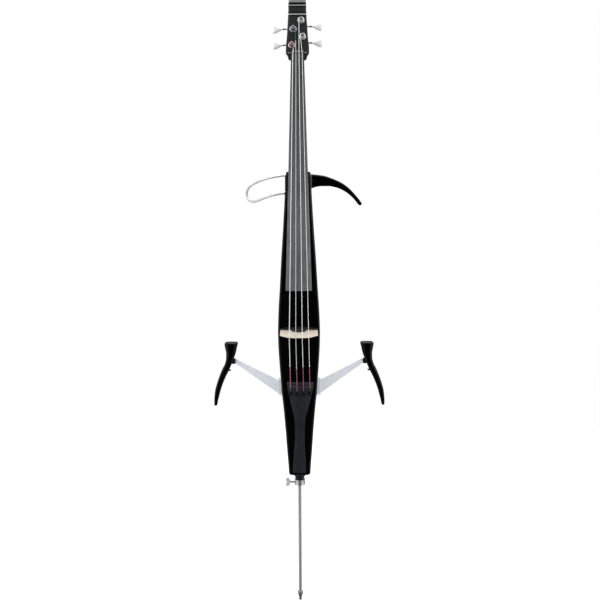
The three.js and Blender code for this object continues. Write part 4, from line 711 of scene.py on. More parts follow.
# Bridge: outline with its heart and eyes, thick at the feet and thin at the crown
B_HALF, B_HIGH, B_FACE, PLATE_Y = 46.0, 89.6, CROWN_Z - 1.3, -28.4
B_THICK, B_THIN = 7.4, 2.6
edge = spline([(x * B_HALF, z * B_HIGH, 0) for x, z in (
    (1, 0.048), (0.955, 0.09), (0.93, 0.24), (0.96, 0.4), (1, 0.47), (1, 0.535), (0.93, 0.61), (0.8, 0.72),
    (0.67, 0.84), (0.605, 0.945))], 5)
right = [(0.42 * B_HALF, 0), (B_HALF, 0)] + [(v.x, v.y) for v in edge]
crown = [(x, B_HIGH - arch(x)) for x in spaced(27, -27, 16)]
hollow = [(-0.4 * B_HALF * math.cos(a), 0.32 * B_HIGH * math.sin(a) ** 0.8)
          for a in (math.pi * (i + 1) / 25 for i in range(24))]
heart = [(6.3 * math.sin(a) ** 3, 0.62 * B_HIGH + 5.4 * (
    13 * math.cos(a) - 5 * math.cos(2 * a) - 2 * math.cos(3 * a) - math.cos(4 * a)) / 16) for a in circle(40)]
eyes = [oval(s * 0.55 * B_HALF, 0.42 * B_HIGH, 5.2, 8.2, 28, -s * 0.25) for s in (-1, 1)]
outline = right + crown + [(-x, z) for x, z in reversed(right)] + hollow
sheet = flat_cut(outline, [heart, *eyes], 1.0, 0.09)
sheet.verts = [Vector((v.x, PLATE_Y - GAP - v.y, B_FACE + v.z * lerp(B_THICK, B_THIN, v.y / B_HIGH)))
               for v in sheet.verts]
build("bridge_carved", sheet, maple, replaces="bridge", sharp=40)
build("pickup_plate", block((-47, PLATE_Y, B_FACE - 3), (47, -FRONT - GAP, B_FACE + 10.4)), fine_plastic,
      replaces="bridge_pickup", bevel=0.6, steps=3)
build("pickup_foot_pads", joined(block((x - 13, -28.75, B_FACE + 0.6), (x + 13, -28.3, B_FACE + 6.8))
                                 for x in (-32.5, 32.5)), steel, bevel=0.1, steps=1)

# Tailpiece with its saddle, its foot and the slots of the fine tuners
tail_at = through([
    (0, 0.9), (0.012, 1), (0.19, 0.775), (0.31, 0.56), (0.38, 0.43), (0.44, 0.385), (0.56, 0.365),
    (0.64, 0.37), (0.8, 0.44), (0.93, 0.495), (0.985, 0.515), (1, 0.46)])


def tail_ring(share, half_share=None, rise=0.0, inset=0.0):
    half = TAIL_HALF * (tail_at(share) if half_share is None else half_share) - inset
    z = -share * TAIL_LONG
    under = max(arch(half) + 5, 12 * lerp(1, 0.8, share)) - inset
    edge_y = arch(half) + inset
    top = [(x, arch(x) - rise + inset, z) for x in spaced(-half + 1.2, half - 1.2, 16)]
    right = [(half - 0.35, edge_y + 0.15, z), (half, edge_y + 0.9, z), (half, under - 1.2, z),
             (half - 0.4, under - 0.35, z), (half - 1.2, under, z)]
    return top + right + [(-x, y, z) for x, y, _ in reversed(right)]


def tail_front(z):
    return (TAIL_TOP - z) * math.tan(TAIL_LEAN) + TAIL_Y


tail_shares = [0, 0.003, 0.007, 0.012, 0.02] + [i / 48 for i in range(2, 48)] + [0.985, 0.991, 0.996, 1]
slab = loft([tail_ring(s, inset=1.2 if s in (0, 1) else 0.5 if s in (0.003, 0.996) else 0)
             for s in tail_shares])
saddle = loft([tail_ring(s, 0.9, r) for s, r in (
    (0.03, -0.05), (0.034, 0.5), (0.038, 1.3), (0.042, 1.85), (SADDLE_AT, 2), (0.048, 1.85), (0.052, 1.3),
    (0.056, 0.5), (0.06, -0.05))])
low, high = BOTTOM + 9, BOTTOM + 43
tail_foot = bar_across([(tail_front(low) + 5, low), (-FRONT - GAP, low), (-FRONT - GAP, high - 6),
                        (tail_front(high) + 9.6, high)], -9.4, 14.6)
slots = []
for n in NAMES:
    x = TAIL_PITCH * LANE[n]
    f = arch(x)
    stepped = [(f - 5, -25.4), (f - 5, -19.5), (f + 17, -19.5), (f + 17, -34.5), (f + 6.4, -34.5),
               (f + 6.4, -25.4)]
    slots += [bar_across(stepped, x - 2.5, x + 2.5),
              pin(1.8, -f - 12, 5 - f).moved(TO_FRONT, shift(x, 0, SCREW_Z))]
build("tailpiece_arched", slab.moved(TAIL), tail_grey, replaces="tailpiece",
      cutters=[s.moved(TAIL) for s in slots], sharp=35)
build("tailpiece_saddle", saddle.moved(TAIL), tail_grey, sharp=35)
build("tailpiece_foot", tail_foot, tail_grey, bevel=1.2, steps=3)

# Fine tuners
hook = spline([(0, y, z) for y, z in (
    (9.2, -34), (8.2, -28), (8.0, -23.6), (6.0, -21.6), (2, -21.4), (-2.6, -21.5))], 5)
rings = []
for i, p in enumerate(hook):
    ahead = (hook[min(i + 1, len(hook) - 1)] - hook[max(i - 1, 0)]).normalized()
    side = Vector((1, 0, 0))
    up = ahead.cross(side)
    rings.append([p + side * a + up * b for a, b in soft_box(1.95, lerp(0.95, 1.35, min(i / 12, 1)), 0.5, 3)])
prongs = joined(tube([(x, -1.2, -21.5), (x, -3.2, -21.4), (x, -4.0, -20.7)], 0.62, 10) for x in (-1.25, 1.25))
pivot = turned([(0, -4.2), (1.3, -4.2), (1.3, 4.2), (0, 4.2)], 0.3, 20, 4)
lever = loft(rings) + prongs + pivot.moved(to_side(1), shift(0, 5.6, -21.5))
stem = turned([(0, -6.9), (1.5, -6.9), (1.5, 2.2), (0, 2.2)], 0.3, 16)
grip = turned([(0, 2), (3.4, 2), (4, 2.5), (4, 5.6), (3.4, 6.6), (2.6, 7), (0, 7)], 0.25, 36,
              knurl=(0.28, 2.45, 5.7))
cap = turned([(0, 6.9), (1.7, 6.9), (1.5, 7.15), (0, 7.2)], 0.1, 24)
fine_screw = stem.painted(1) + grip + cap.painted(1)
for n in NAMES:
    x = TAIL_PITCH * LANE[n]
    build("fine_lever_" + n, lever.moved(shift(x, arch(x), 0), TAIL), dark_steel,
          "fine_tuner_lever_" + n, "fine_tuner_lever_" + n, sharp=45)
    build("fine_screw_" + n, fine_screw.moved(TO_FRONT, shift(x, arch(x), SCREW_Z), TAIL),
          [knob_black_and_painted_shade, dark_steel], "fine_tuner_screw_" + n, "fine_tuner_screw_" + n, sharp=30)

# Tuners on the head
TEETH, GEAR_R, GEAR_NEAR, GEAR_MID, RISE = 14, 5.6, 24.1, 25.6, 7.9
LEAD, WORM_R, WORM_TURNS = math.pi * 0.8, 2.3, 2.5
BUTTON_LONG, BUTTON_HIGH, BUTTON_THICK = 26, 11.6, 2.8
HELIX = math.atan(LEAD / (2 * math.pi * WORM_R))


def gear(phase):
    rings = []
    for share in (0, 1 / 3, 2 / 3, 1):
        ring = []
        for tooth in range(TEETH):
            middle = phase + tooth * 2 * math.pi / TEETH + math.tan(HELIX) * 3 / GEAR_R * (share - 0.5)
            for offset, radius in ((-0.5, 4.76), (-0.26, 4.76), (-0.18, 5.5), (-0.115, 6.2), (0.115, 6.2),
                                   (0.18, 5.5), (0.26, 4.76)):
                a = middle + offset * 2 * math.pi / TEETH
                ring.append((radius * math.sin(a), GEAR_NEAR + share * 3, radius * math.cos(a)))
        rings.append(ring)
    return loft(rings)


def hexagon_ring(flat, bore, low, high):
    """A hexagon with a round bore, its upper corners eased."""
    reach = [flat / math.cos((a + math.pi / 6) % (math.pi / 3) - math.pi / 6) for a in circle(48)]
    inside = [bore] * 48
    rows = [(reach, low), (reach, high - 0.5), ([min(r, flat + 0.3) for r in reach], high), (inside, high),
            (inside, low), (reach, low)]
    return loft([[(r * math.cos(a), r * math.sin(a), z) for a, r in zip(circle(48), radii)]
                 for radii, z in rows], ends=False)


def wormed(side, post_x):
    """A key's shaft with its button, and the worm's thread round it."""
    start, bead, end = side * (36 - post_x), side * (33.5 - post_x), -side * 10.2
    half_high = through([
        (0, 0.18), (0.08, 0.22), (0.2, 0.38), (0.35, 0.62), (0.5, 0.83), (0.63, 0.95), (0.76, 1),
        (0.88, 0.97), (0.96, 0.84), (1, 0.55)])
    half_thick = through([(0, 0.8), (0.2, 1), (0.5, 0.9), (0.8, 0.78), (0.95, 0.55), (1, 0.25)])
    rows = [(x, r, r) for x, r in (
        (end, 1.4), (end + side * 0.5, 2), (-side * 6, 2), (-side * 5, 1.45), (side * 5, 1.45), (side * 6, 2),
        (bead - side * 3.2, 2), (bead - side * 2.4, 2.1))]
    for a in (math.pi * k / 12 for k in range(13)):
        rows.append((bead - side * 1.9 * math.cos(a), 2 + 1.0 * math.sin(a), 2 + 1.0 * math.sin(a)))
    rows.append((bead + side * 2.3, 2.1, 2.1))
    for t in (1 - (1 - k / 28) ** 1.3 for k in range(29)):
        x = start + side * BUTTON_LONG * t
        rows.append((x, BUTTON_HIGH * half_high(t), BUTTON_THICK * half_thick(t)))
    rings = [[(x, y, z) for y, z in oval(0, 0, thick, tall, 28)] for x, tall, thick in rows]
    paint = [2 if side * (x - start) >= -1e-6 else 0 for x, _, _ in rows]
    thread = []
    for share in spaced(0, 1, 60):
        a = 2 * math.pi * WORM_TURNS * (share - 0.5)
        crest = lerp(1.3, 2.98, min(1, share * 10, (1 - share) * 10))
        thread.append([(LEAD * (WORM_TURNS * (share - 0.5) + o * 0.36), r * math.sin(a), -r * math.cos(a))
                       for o, r in ((-0.72, 1.16), (-0.32, crest), (0.32, crest), (0.72, 1.16))])
    return loft(rings, slots=paint) + loft(thread).painted(1)


post = turned([(0, -27.9), (2.9, -27.9), (2.9, -23.3), (4.7, -23.3), (4.7, 4.2), (4.2, 5.4), (4.2, 12.2),
               (4.7, 13.4), (4.4, 14.7), (3.6, 15), (0, 14.8)], 0.35, 32, 3).moved(TO_FRONT)
washer = turned([(5, -9), (6, -9), (6, 0.3), (8.5, 0.3), (8.5, 1.0), (7.9, 1.35), (5, 1.35), (5, -9)],
                0.2, 40)
ring_nut = (washer + hexagon_ring(6.7, 5.0, 1.2, 2.7)).moved(TO_FRONT)
frame_screw = turned([(0, 0), (1.7, 0), (1.6, 0.5), (1.0, 0.9), (0, 1.0)], 0.2, 16).moved(TO_BACK)
gear_screw = turned([(0, 27.8), (2.4, 27.8), (2.3, 28.6), (1.6, 29), (0, 29.1)], 0.2, 20).moved(TO_BACK)
for n in NAMES:
    side, (px, pz) = SIDE[n], POST[n]
    place = [shift(side * px, 0, pz), HEAD]
    rise = -side * RISE
    at_key = shift(0, GEAR_MID, rise)
    lo, hi = (-8, rise + 4) if rise > 0 else (rise - 4, 8)
    lug = [(y, z + rise) for y, z in (
        (22.2, -4), (26, -4), (28.2, -3), (29.6, 0), (28.2, 3), (26, 4), (22.2, 4))]
    lugs = joined(bar_across(lug, x, x + 3) for x in (-9.4, 6.4))
    build("tuner_frame_" + n, block((-9.4, 20.3, lo), (9.4, 22.3, hi)).moved(*place), steel,
          replaces="tuner_housing_" + n, cutters=[pin(5, -30, 0, 24).moved(TO_FRONT, *place)], bevel=0.3)
    build("tuner_lugs_" + n, lugs.moved(*place), steel, bevel=0.3,
          cutters=[pin(2.35, -16, 16).moved(to_side(1), at_key, *place)])
    z = lo + 2 if rise > 0 else hi - 2
    screws = joined(frame_screw.moved(shift(x, 22.3, z), *place) for x in (-7.2, 7.2))
    build("tuner_screws_" + n, screws, steel, sharp=50)
    build("tuner_ring_" + n, ring_nut.moved(*place), bright_chrome, replaces="tuner_bushing_" + n,
          sharp=35)
    build("tuning_post_" + n, post.moved(*place), shaft_steel, "tuner_post_" + n, "tuner_post_" + n,
          cutters=[block((-3.6, -15.2, -0.55), (3.6, -13.9, 0.55)).moved(*place),
                   pin(0.9, -6, 6, 14).moved(to_side(1), shift(0, -10.4, 0), *place)], sharp=35)
    phase = math.pi / TEETH + (math.pi if side > 0 else 0)
    build("tuning_gear_" + n, (gear(phase) + gear_screw).moved(*place), steel, "tuner_post_" + n,
          sharp=35)
    over = Matrix.Rotation(math.pi if side > 0 else 0, 4, "X")
    build("tuning_key_" + n, wormed(side, px).moved(over, at_key, *place),
          [shaft_steel, steel, button_chrome], "tuner_key_" + n, "tuner_key_" + n, sharp=50)

# Strings, each one wire from its turns on the post to its fine tuner, with silk at the tail end, and at the
# head end too on C and G
POST_WAIST, FIRST_TURN, TURN_GAP, TURN_STEPS = 4.2, 7.5, 0.6, 48


def route(n):
    """A wire's points, the number of those on its post, and its radius."""
    diameter, turns = WIRE[n]
    side, (px, pz), lane = SIDE[n], POST[n], LANE[n]
    r = diameter / 2
    coil = POST_WAIST + GAP + r
    nut_x, crown_x, tail_x = NUT_PITCH * lane, CROWN_PITCH * lane, TAIL_PITCH * lane
    nut_point = Vector((nut_x, NUT_Y + arch(nut_x) - GAP - r, NUT_Z))
    inner = HEAD.inverted() @ nut_point
    away = Vector((inner.x - side * px, inner.z - pz))
    leave = math.atan2(away.y, away.x) - side * math.acos(coil / away.length)
    points = []
    for i in range(round(turns * TURN_STEPS), -1, -1):
        a = leave - side * 2 * math.pi * i / TURN_STEPS
        drop = FIRST_TURN + i / TURN_STEPS * (diameter + TURN_GAP)
        points.append(HEAD @ Vector((side * px + coil * math.cos(a), -drop, pz + coil * math.sin(a))))
    wound_count = len(points)
    seat = GAP + 1.3 * math.tan(TAIL_LEAN)
    for stop, steps in ((nut_point, 12), (Vector((crown_x, arch(crown_x) - CROWN_Y - seat - r, CROWN_Z)), 40),
                        (TAIL @ Vector((tail_x, arch(tail_x) - 2.3 - r, -TAIL_LONG * SADDLE_AT)), 24),
                        (TAIL @ Vector((tail_x, arch(tail_x) - 2.1, -19.7)), 5)):
        last = points[-1]
        points += [last.lerp(stop, k / steps) for k in range(1, steps)] + [stop]
    return points, wound_count, r


SILK_FROM = {"c": 615, "g": 612, "d": 614, "a": 616}
SILK_HEAD = {"c": silk_red, "g": silk_teal}
for n in NAMES:
    points, wound_count, r = route(n)
    radii, paint = [], []
    for i, p in enumerate(points):
        bare = i > len(points) - 5
        if n in SILK_HEAD and i < wound_count + 5:
            radii.append(r + 0.12)
            paint.append(1)
        elif p.z < SILK_FROM[n] and i > wound_count + 20 and not (abs(LANE[n]) > 1 and bare):
            radii.append(max(r, 0.62) + 0.15)
            paint.append(2)
        else:
            radii.append(r)
            paint.append(3 if bare else 0)
    finishes = [WIRES[n], SILK_HEAD.get(n, silk_tail), silk_tail, steel]
    build("string_wire_" + n, tube(points, radii, 12, paint[:-1]), finishes, replaces="string_" + n,
          sharp=60, even=False)

# Endpin: rubber-footed tip, rod, socket, clamp and thumbscrew
tip = turned([(0, 8), (2.3, 9.6), (4.3, 22.4), (6.6, 22.4), (7, 22.0), (7, 18.4), (6.2, 16.6), (4.6, 10.4),
              (3.4, 7.2), (3.2, 6)], 0.4, 40, 3)
tip_foot = turned([(0, 0), (2.2, 0), (2.7, 0.7), (3.3, 5.6), (3.2, 6.2), (0, 6.2)], 0.4, 32, 3).painted(1)
build("endpin_tip_shaped", tip + tip_foot, [steel, foot_rubber], "endpin", "endpin_tip",
      sharp=35)
ROD_TOP = 8 + GAP + 440
rod = lathe([(0, 8.6), (2, 10.2), (4, 22.7), (4, ROD_TOP - 1), (3, ROD_TOP), (0, ROD_TOP)], 40)
build("endpin_rod_round", rod, rod_steel, "endpin", "endpin_rod", sharp=35)
SOCKET_R, SOCKET_DROP = 13.6, 14.9
waist = [(SOCKET_R * r, BOTTOM - GAP - SOCKET_DROP * d) for r, d in (
    (0.98, 1), (0.98, 0.91), (0.85, 0.79), (0.79, 0.67), (0.84, 0.55), (0.99, 0.44), (1.03, 0.38), (1, 0))]
socket = turned([(4.5, waist[0][1])] + waist + [
    (8.2, BOTTOM - GAP), (8.2, BOTTOM + 35.7), (4.5, BOTTOM + 35.7), (4.5, waist[0][1])], 1.2, 48, 4)
build("endpin_socket_shaped", socket, socket_black, replaces="endpin_socket", sharp=35)
CLAMP_LOW, CLAMP_HIGH = 298.0, 311.7
AT_SCREW = shift(0, 0, (CLAMP_LOW + CLAMP_HIGH) / 2)
collar = turned([
    (4.5, CLAMP_LOW), (12.2, CLAMP_LOW), (13.4, CLAMP_LOW + 1), (13.4, CLAMP_LOW + 3.4),
    (12.7, CLAMP_LOW + 4), (12.7, CLAMP_HIGH - 4), (13.4, CLAMP_HIGH - 3.4), (13.4, CLAMP_HIGH - 1),
    (12.4, CLAMP_HIGH), (4.5, CLAMP_HIGH), (4.5, CLAMP_LOW)], 0.35, 56, 3)
build("endpin_clamp_collar", collar, collar_chrome, replaces="endpin_clamp", sharp=35,
      cutters=[pin(2.3, 3, 20, 24).moved(to_side(-1), AT_SCREW)])
wing_high = through([(0, 0.24), (0.12, 0.42), (0.3, 0.82), (0.55, 1), (0.8, 0.97), (0.93, 0.8), (1, 0.45)])
wing_thick = through([(0, 1), (0.2, 0.95), (0.5, 0.75), (0.85, 0.6), (1, 0.3)])
wing = loft([[(-lerp(22.8, 36, t), y, z) for y, z in oval(0, 0, 3.2 * wing_thick(t), 11.4 * wing_high(t), 32)]
             for t in spaced(0, 1, 24)])
threads = [p for k in range(10) for p in ((2, 5 + k * 0.9), (1.75, 5.45 + k * 0.9))]
shank = lathe([(0, 4.3), (1.7, 4.3), (2, 4.7)] + threads + [(2, 14.4), (2, 22.9), (0, 22.9)], 24)
shoulder = turned([(0, 20.6), (3.1, 20.6), (3.3, 21.4), (3.3, 22.6), (2.6, 23.4), (0, 23.4)], 0.3, 28)
thumbscrew = wing + (shank.painted(1) + shoulder).moved(to_side(-1))
build("thumbscrew_wing", thumbscrew.moved(AT_SCREW), [satin_chrome, shaft_steel], "thumbscrew",
      "endpin_thumbscrew", sharp=35,
      cutters=[pin(4.3, -8, 8, 28).moved(TO_FRONT, shift(-37.6, 0, 0), AT_SCREW)])

# Rod loop on the left with a ferrule round each leg
LOOP_START, LOOP_WIDE, LOOP_SWEEP, LOOP_TALL = LEG_X - 1, 94.8, 45, 64.7
loop = [(LOOP_START - LOOP_WIDE * x, LEG_Y + LOOP_SWEEP * y, LEG_HEIGHTS[0] + LOOP_TALL * z) for x, z, y in (
    (0.0, 0, 0), (0.075, -0.012, 0), (0.29, -0.06, 0.03), (0.522, -0.14, 0.12), (0.75, -0.28, 0.33),
    (0.893, -0.402, 0.6), (0.971, -0.543, 0.86), (1, -0.695, 1), (0.975, -0.889, 0.97), (0.89, -0.992, 0.78),
    (0.786, -1, 0.55), (0.628, -0.921, 0.3), (0.435, -0.806, 0.12), (0.263, -0.736, 0.03), (0.1, -0.689, 0),
    (0.0, -0.668, 0))]
loop[-1] = (LOOP_START, LEG_Y, LEG_HEIGHTS[1])
legs = [[(LOOP_START + d, LEG_Y, z) for d in (44, 1)] for z in LEG_HEIGHTS]
build("rod_loop_bent", tube(legs[0] + spline(loop, 8) + legs[1][::-1], 3, 24), loop_steel,
      "left_frame", "left_frame_rod", sharp=60, even=False)
ferrule = turned([(3.3, -3), (5.2, -3), (5.2, 1.4), (4.4, 2.2), (3.3, 2.2), (3.3, -3)], 0.3, 32)
build("rod_ferrules", joined(ferrule.moved(to_side(-1), shift(-body_half(z), LEG_Y, z)) for z in LEG_HEIGHTS),
      chrome, sharp=40)

# Horn on the right with the plate at its root
HORN_LONG, HORN_DROP, HORN_HALF, HORN_ROOT = 121.5, 74.7, 8, 34.6
horn_at = through([
    (0, 0, 0, 0, -0.463, 1), (1, 0.07, -0.012, 0.07, -0.425, 1), (2, 0.24, -0.052, 0.17, -0.397, 0.98),
    (3, 0.41, -0.15, 0.32, -0.395, 0.95), (4, 0.575, -0.272, 0.47, -0.437, 0.9),
    (5, 0.74, -0.463, 0.61, -0.53, 0.85), (6, 0.875, -0.696, 0.745, -0.677, 0.8),
    (7, 0.95, -0.845, 0.85, -0.847, 0.75), (8, 1, -0.975, 0.93, -1.01, 0.65),
    (9, 0.985, -1.025, 0.948, -1.035, 0.4)])
horn_start, horn_top = body_half(LEG_HEIGHTS[1]) + GAP * 2 + 1.5, TOP - 6.1


def horn_ring(t):
    ax, az, bx, bz, thick = horn_at(t)
    close = 1 - min(t / 3, 1)
    ends = []
    for root, x, z in ((horn_top, ax, az), (horn_top - HORN_ROOT, bx, bz)):
        start = lerp(horn_start, body_half(root) + 1.0, close)
        ends.append(Vector((start + HORN_LONG * x, 0, horn_top + HORN_DROP * z)))
    middle, across = (ends[0] + ends[1]) / 2, (ends[0] - ends[1]) / 2
    out = []
    for c, s in ((math.cos(w), math.sin(w)) for w in circle(32)):
        out.append(middle + across * math.copysign(abs(c) ** 0.36, c)
                   + Vector((0, math.copysign(HORN_HALF * thick * abs(s) ** 0.42, s), 0)))
    return out


build("horn_curved", loft([horn_ring(9 * i / 72) for i in range(73)]), horn_lacquer,
      replaces="right_frame_horn", sharp=50)
root_plate = loft([[(body_half(z) + d, y, z) for d, y in ((0.15, -10), (0.85, -10), (0.85, 10), (0.15, 10))]
                   for z in (horn_top - HORN_DROP * 0.463 * k / 6 for k in range(7))])
build("horn_root_plate", root_plate, plate_alloy, replaces="horn_plate", bevel=0.2)
bolt = turned([(0, -3), (3.4, -3), (3.4, 0.8), (2.6, 1.6), (0, 1.6)], 0.3, 24).moved(TO_BACK)
bolts = joined(bolt.moved(shift(horn_start + 9, 7.4, horn_top - d)) for d in (9, 26))
build("horn_bolts", bolts, steel, sharp=40)

# Knee supports
ARM_LOW, ARM_HIGH = 530.5, 563.8
TIP_LOW, TIP_HIGH = 601.6, 612.6
HINGE_X, HINGE_Y, HINGE_R, EAR = 50.5, 5.0, 3.4, 3.7
BOSS_X, SCREW_X, NUB_X, NUB_Z = 173, 168, 178.6, 584.5
ARM_LEAN = math.radians(17)
PAD_REACH, PAD_LONG, PAD_DEEP = 215, 160, 15
ARM_TIP = PAD_REACH * 0.744
ARM_LONG = (ARM_TIP - HINGE_X) / math.cos(ARM_LEAN)
PAD_Y = HINGE_Y + (ARM_TIP - HINGE_X) * math.tan(ARM_LEAN)
PAD_TOP = TIP_HIGH + 42
pad_rows = through([
    (0, 0.718, 0.862, 0.9), (0.018, 0.717, 0.873, 1), (0.074, 0.727, 0.867, 1), (0.168, 0.742, 0.854, 0.95),
    (0.232, 0.759, 0.854, 0.9), (0.336, 0.79, 0.87, 0.85), (0.425, 0.818, 0.903, 0.8),
    (0.543, 0.862, 0.939, 0.75), (0.652, 0.896, 0.967, 0.7), (0.76, 0.923, 0.988, 0.65),
    (0.86, 0.943, 0.997, 0.6), (0.93, 0.957, 1, 0.52), (0.972, 0.962, 1.0, 0.44), (1, 0.969, 0.999, 0.3)])


def pad_ring(side, drop, inset=0.0, sink=0.0):
    inner, outer, deep = pad_rows(drop)
    a, b, half = PAD_REACH * inner + inset, PAD_REACH * outer - inset, PAD_DEEP * deep - inset
    return [(side * ((a + b) / 2 + x), PAD_Y + y, PAD_TOP - PAD_LONG * drop - sink)
            for x, y in soft_box((b - a) / 2, half, min((b - a) / 2, half) * 0.62, 6)]


pad_shares = [0.002, 0.006, 0.012, 0.018] + [i / 56 for i in range(2, 54)] + [
    0.96, 0.97, 0.98, 0.988, 0.995, 1]
lo, hi = ARM_LOW - EAR, ARM_HIGH + EAR
hinge_pin = turned([
    (0, lo - 1.5), (2.4, lo - 1.5), (2.72, lo - 1.1), (2.72, lo - GAP), (1.6, lo - GAP), (1.6, hi + GAP),
    (2.72, hi + GAP), (2.72, hi + 1.1), (2.4, hi + 1.5), (0, hi + 1.5)], 0.2, 28)
barrel = turned([
    (1.9, ARM_LOW), (HINGE_R, ARM_LOW), (HINGE_R, ARM_HIGH), (1.9, ARM_HIGH), (1.9, ARM_LOW)], 0.4, 28)
nub = turned([(0, -4), (2.2, -4), (2.2, 5.4), (1.5, 6.4), (0, 6.6)], 0.4, 20, 3)
cap = turned([(0, 0), (3.6, 0), (3.4, 1.0), (2.6, 1.7), (1.3, 1.9), (1.1, 1.2), (0, 1.1)], 0.2, 24)
for name, side in (("left", -1), ("right", 1)):
    knee = "knee_" + name
    at_hinge = shift(side * HINGE_X, HINGE_Y, 0)
    arm_turn = [Matrix.Rotation(side * ARM_LEAN, 4, "Z"), at_hinge]
    inner = [(side * (body_half(z) + GAP), z) for z in spaced(hi, lo, 8)]
    base = plate([(side * 47, lo), (side * 47, hi)] + inner, -3, 15)
    ear = [(side * 46.5, HINGE_Y - HINGE_R)] + [
        (side * (HINGE_X + HINGE_R * math.sin(t)), HINGE_Y - HINGE_R * math.cos(t))
        for t in (math.pi * k / 12 for k in range(13))] + [(side * 46.5, HINGE_Y + HINGE_R)]
    ears = joined(loft([[(x, y, z) for x, y in ear] for z in rows])
                  for rows in ((lo, ARM_LOW - GAP), (ARM_HIGH + GAP, hi)))
    build("knee_hinge_bracket_" + name, base + ears, pale_alloy, replaces="knee_bracket_" + name,
          bevel=0.3, cutters=[pin(1.9, lo - 5, hi + 5).moved(at_hinge)])
    build("knee_pin_" + name, hinge_pin.moved(at_hinge), pale_alloy,
          replaces="knee_hinge_pin_" + name, sharp=35,
          cutters=[block((-3, -0.4, hi + 1.0), (3, 0.4, hi + 3)).moved(at_hinge)])
    arm_outline = [(side * 1.6, ARM_LOW), (side * ARM_LONG, TIP_LOW), (side * ARM_LONG, TIP_HIGH),
                   (side * 3.7, ARM_HIGH), (side * 1.6, ARM_HIGH)]
    build("knee_arm_blade_" + name, plate(arm_outline, -2, 2).moved(*arm_turn), alloy, knee,
          "knee_arm_" + name, bevel=0.7, steps=3,
          cutters=[pin(3.2, ARM_LOW - 5, ARM_HIGH + 5, 24).moved(*arm_turn)])
    build("knee_arm_barrel_" + name, barrel.moved(*arm_turn), alloy, knee, sharp=40)
    rings = [pad_ring(side, 0, 4.5, -0.9), pad_ring(side, 0, 2.2, -0.7), pad_ring(side, 0, 0.8, -0.2)]
    rings += [pad_ring(side, s) for s in pad_shares] + [pad_ring(side, 1, 0.8, 0.6)]
    pad = build("knee_pad_grip_" + name, loft(rings), pad_skin, knee, "knee_pad_" + name,
                sharp=48)
    near, far = sorted((side * (ARM_TIP + 2 * math.sin(ARM_LEAN) + GAP), side * BOSS_X))
    boss = block((near, PAD_Y - 6, TIP_LOW - 1), (far, PAD_Y + 6, TIP_HIGH + 1))
    build("knee_boss_" + name, boss, pad_skin, knee, bevel=1.2, steps=3)
    build("knee_nub_" + name, nub.moved(to_side(-side), shift(side * NUB_X, PAD_Y - 3, NUB_Z)), satin_plastic,
          knee, sharp=40)
    screw = cap.moved(TO_FRONT, shift(side * SCREW_X, PAD_Y - 6, (TIP_LOW + TIP_HIGH) / 2))
    build("knee_screw_" + name, screw, satin_plastic, knee, sharp=40)

# Back cover with its door, controls and jacks
DOOR_LOW, DOOR_HIGH, DOOR_HALF = COVER_LOW + 8, COVER_LOW + 68, 18
TONE_Z, VOLUME_Z, SWITCH_Z, JACK_Z = COVER_LOW + 132, COVER_LOW + 164, COVER_LOW + 104, COVER_LOW + 84
HINGE_Z, DOOR_Y = DOOR_LOW + 2.2, BACK - 1.25 - 0.4


def bored(radius, x, z):
    """A hole through the cover."""
    return pin(radius, 20, 40, 32).moved(TO_BACK, shift(x, 0, z))


cover_outline = soft_box(COVER_HALF, (COVER_HIGH - COVER_LOW) / 2, 2.0, 4)
cover = plate([(x, z + (COVER_LOW + COVER_HIGH) / 2) for x, z in cover_outline], COVER_Y, BACK)
build("back_cover_plate", cover, satin_plastic, replaces="back_cover", bevel=0.3, cutters=[
    block((-DOOR_HALF - GAP, 20, DOOR_LOW - GAP), (DOOR_HALF + GAP, 40, DOOR_HIGH + GAP)),
    block((-20.3, 20, HINGE_Z - 1.6), (20.3, DOOR_Y + 1.6, HINGE_Z + 1.6)),
    block((-1.5, 20, SWITCH_Z - 6.3), (1.5, 40, SWITCH_Z + 6.3)),
    bored(3.3, 0, TONE_Z), bored(3.3, 0, VOLUME_Z), bored(5.8, -14, JACK_Z), bored(4.5, 14, JACK_Z)])
screw_places = [(x, z) for x in (-26.4, 26.4) for z in (COVER_LOW + 3.6, COVER_LOW + 95, COVER_HIGH - 3.6)]
screw_head = turned([(0, -1), (2.3, -1), (2.3, 0.1), (1.6, 0.7), (0, 0.8)], 0.2, 20).moved(TO_BACK)
build("cover_screws", joined(screw_head.moved(shift(x, BACK, z)) for x, z in screw_places), steel,
      cutters=[block((x - w, BACK + 0.35, z - h), (x + w, BACK + 2, z + h))
               for x, z in screw_places for w, h in ((1.5, 0.3), (0.3, 1.5))], sharp=40)
door_outline = soft_box(DOOR_HALF, (DOOR_HIGH - DOOR_LOW - 1.5) / 2, 1.5, 3)
door = plate([(x, z + (DOOR_LOW + 1.5 + DOOR_HIGH) / 2) for x, z in door_outline], COVER_Y, BACK)
grooves = [block((-8, BACK - 0.9, DOOR_HIGH - 9 + k * 1.7), (8, BACK + 2, DOOR_HIGH - 8.2 + k * 1.7))
           for k in range(4)]
trunnion = turned([(0, -20), (1.3, -20), (1.3, 20), (0, 20)], 0.3, 20)
trunnion = trunnion.moved(to_side(1), shift(0, DOOR_Y, HINGE_Z))
build("battery_door_panel", door, fine_plastic, "battery_door", "battery_door", cutters=grooves,
      bevel=0.25)
build("battery_door_trunnion", trunnion, fine_plastic, "battery_door", sharp=40)
out = BACK + 0.6
knob = turned([
    (0, 20.9), (3, 20.9), (3, out), (7.6, out), (8, out + 0.4), (8, out + 6.6), (7.5, out + 7.6),
    (6.7, out + 9), (5.8, out + 8.7), (0, out + 8.5)], 0.3, 60, knurl=(0.35, out + 0.35, out + 6.7))
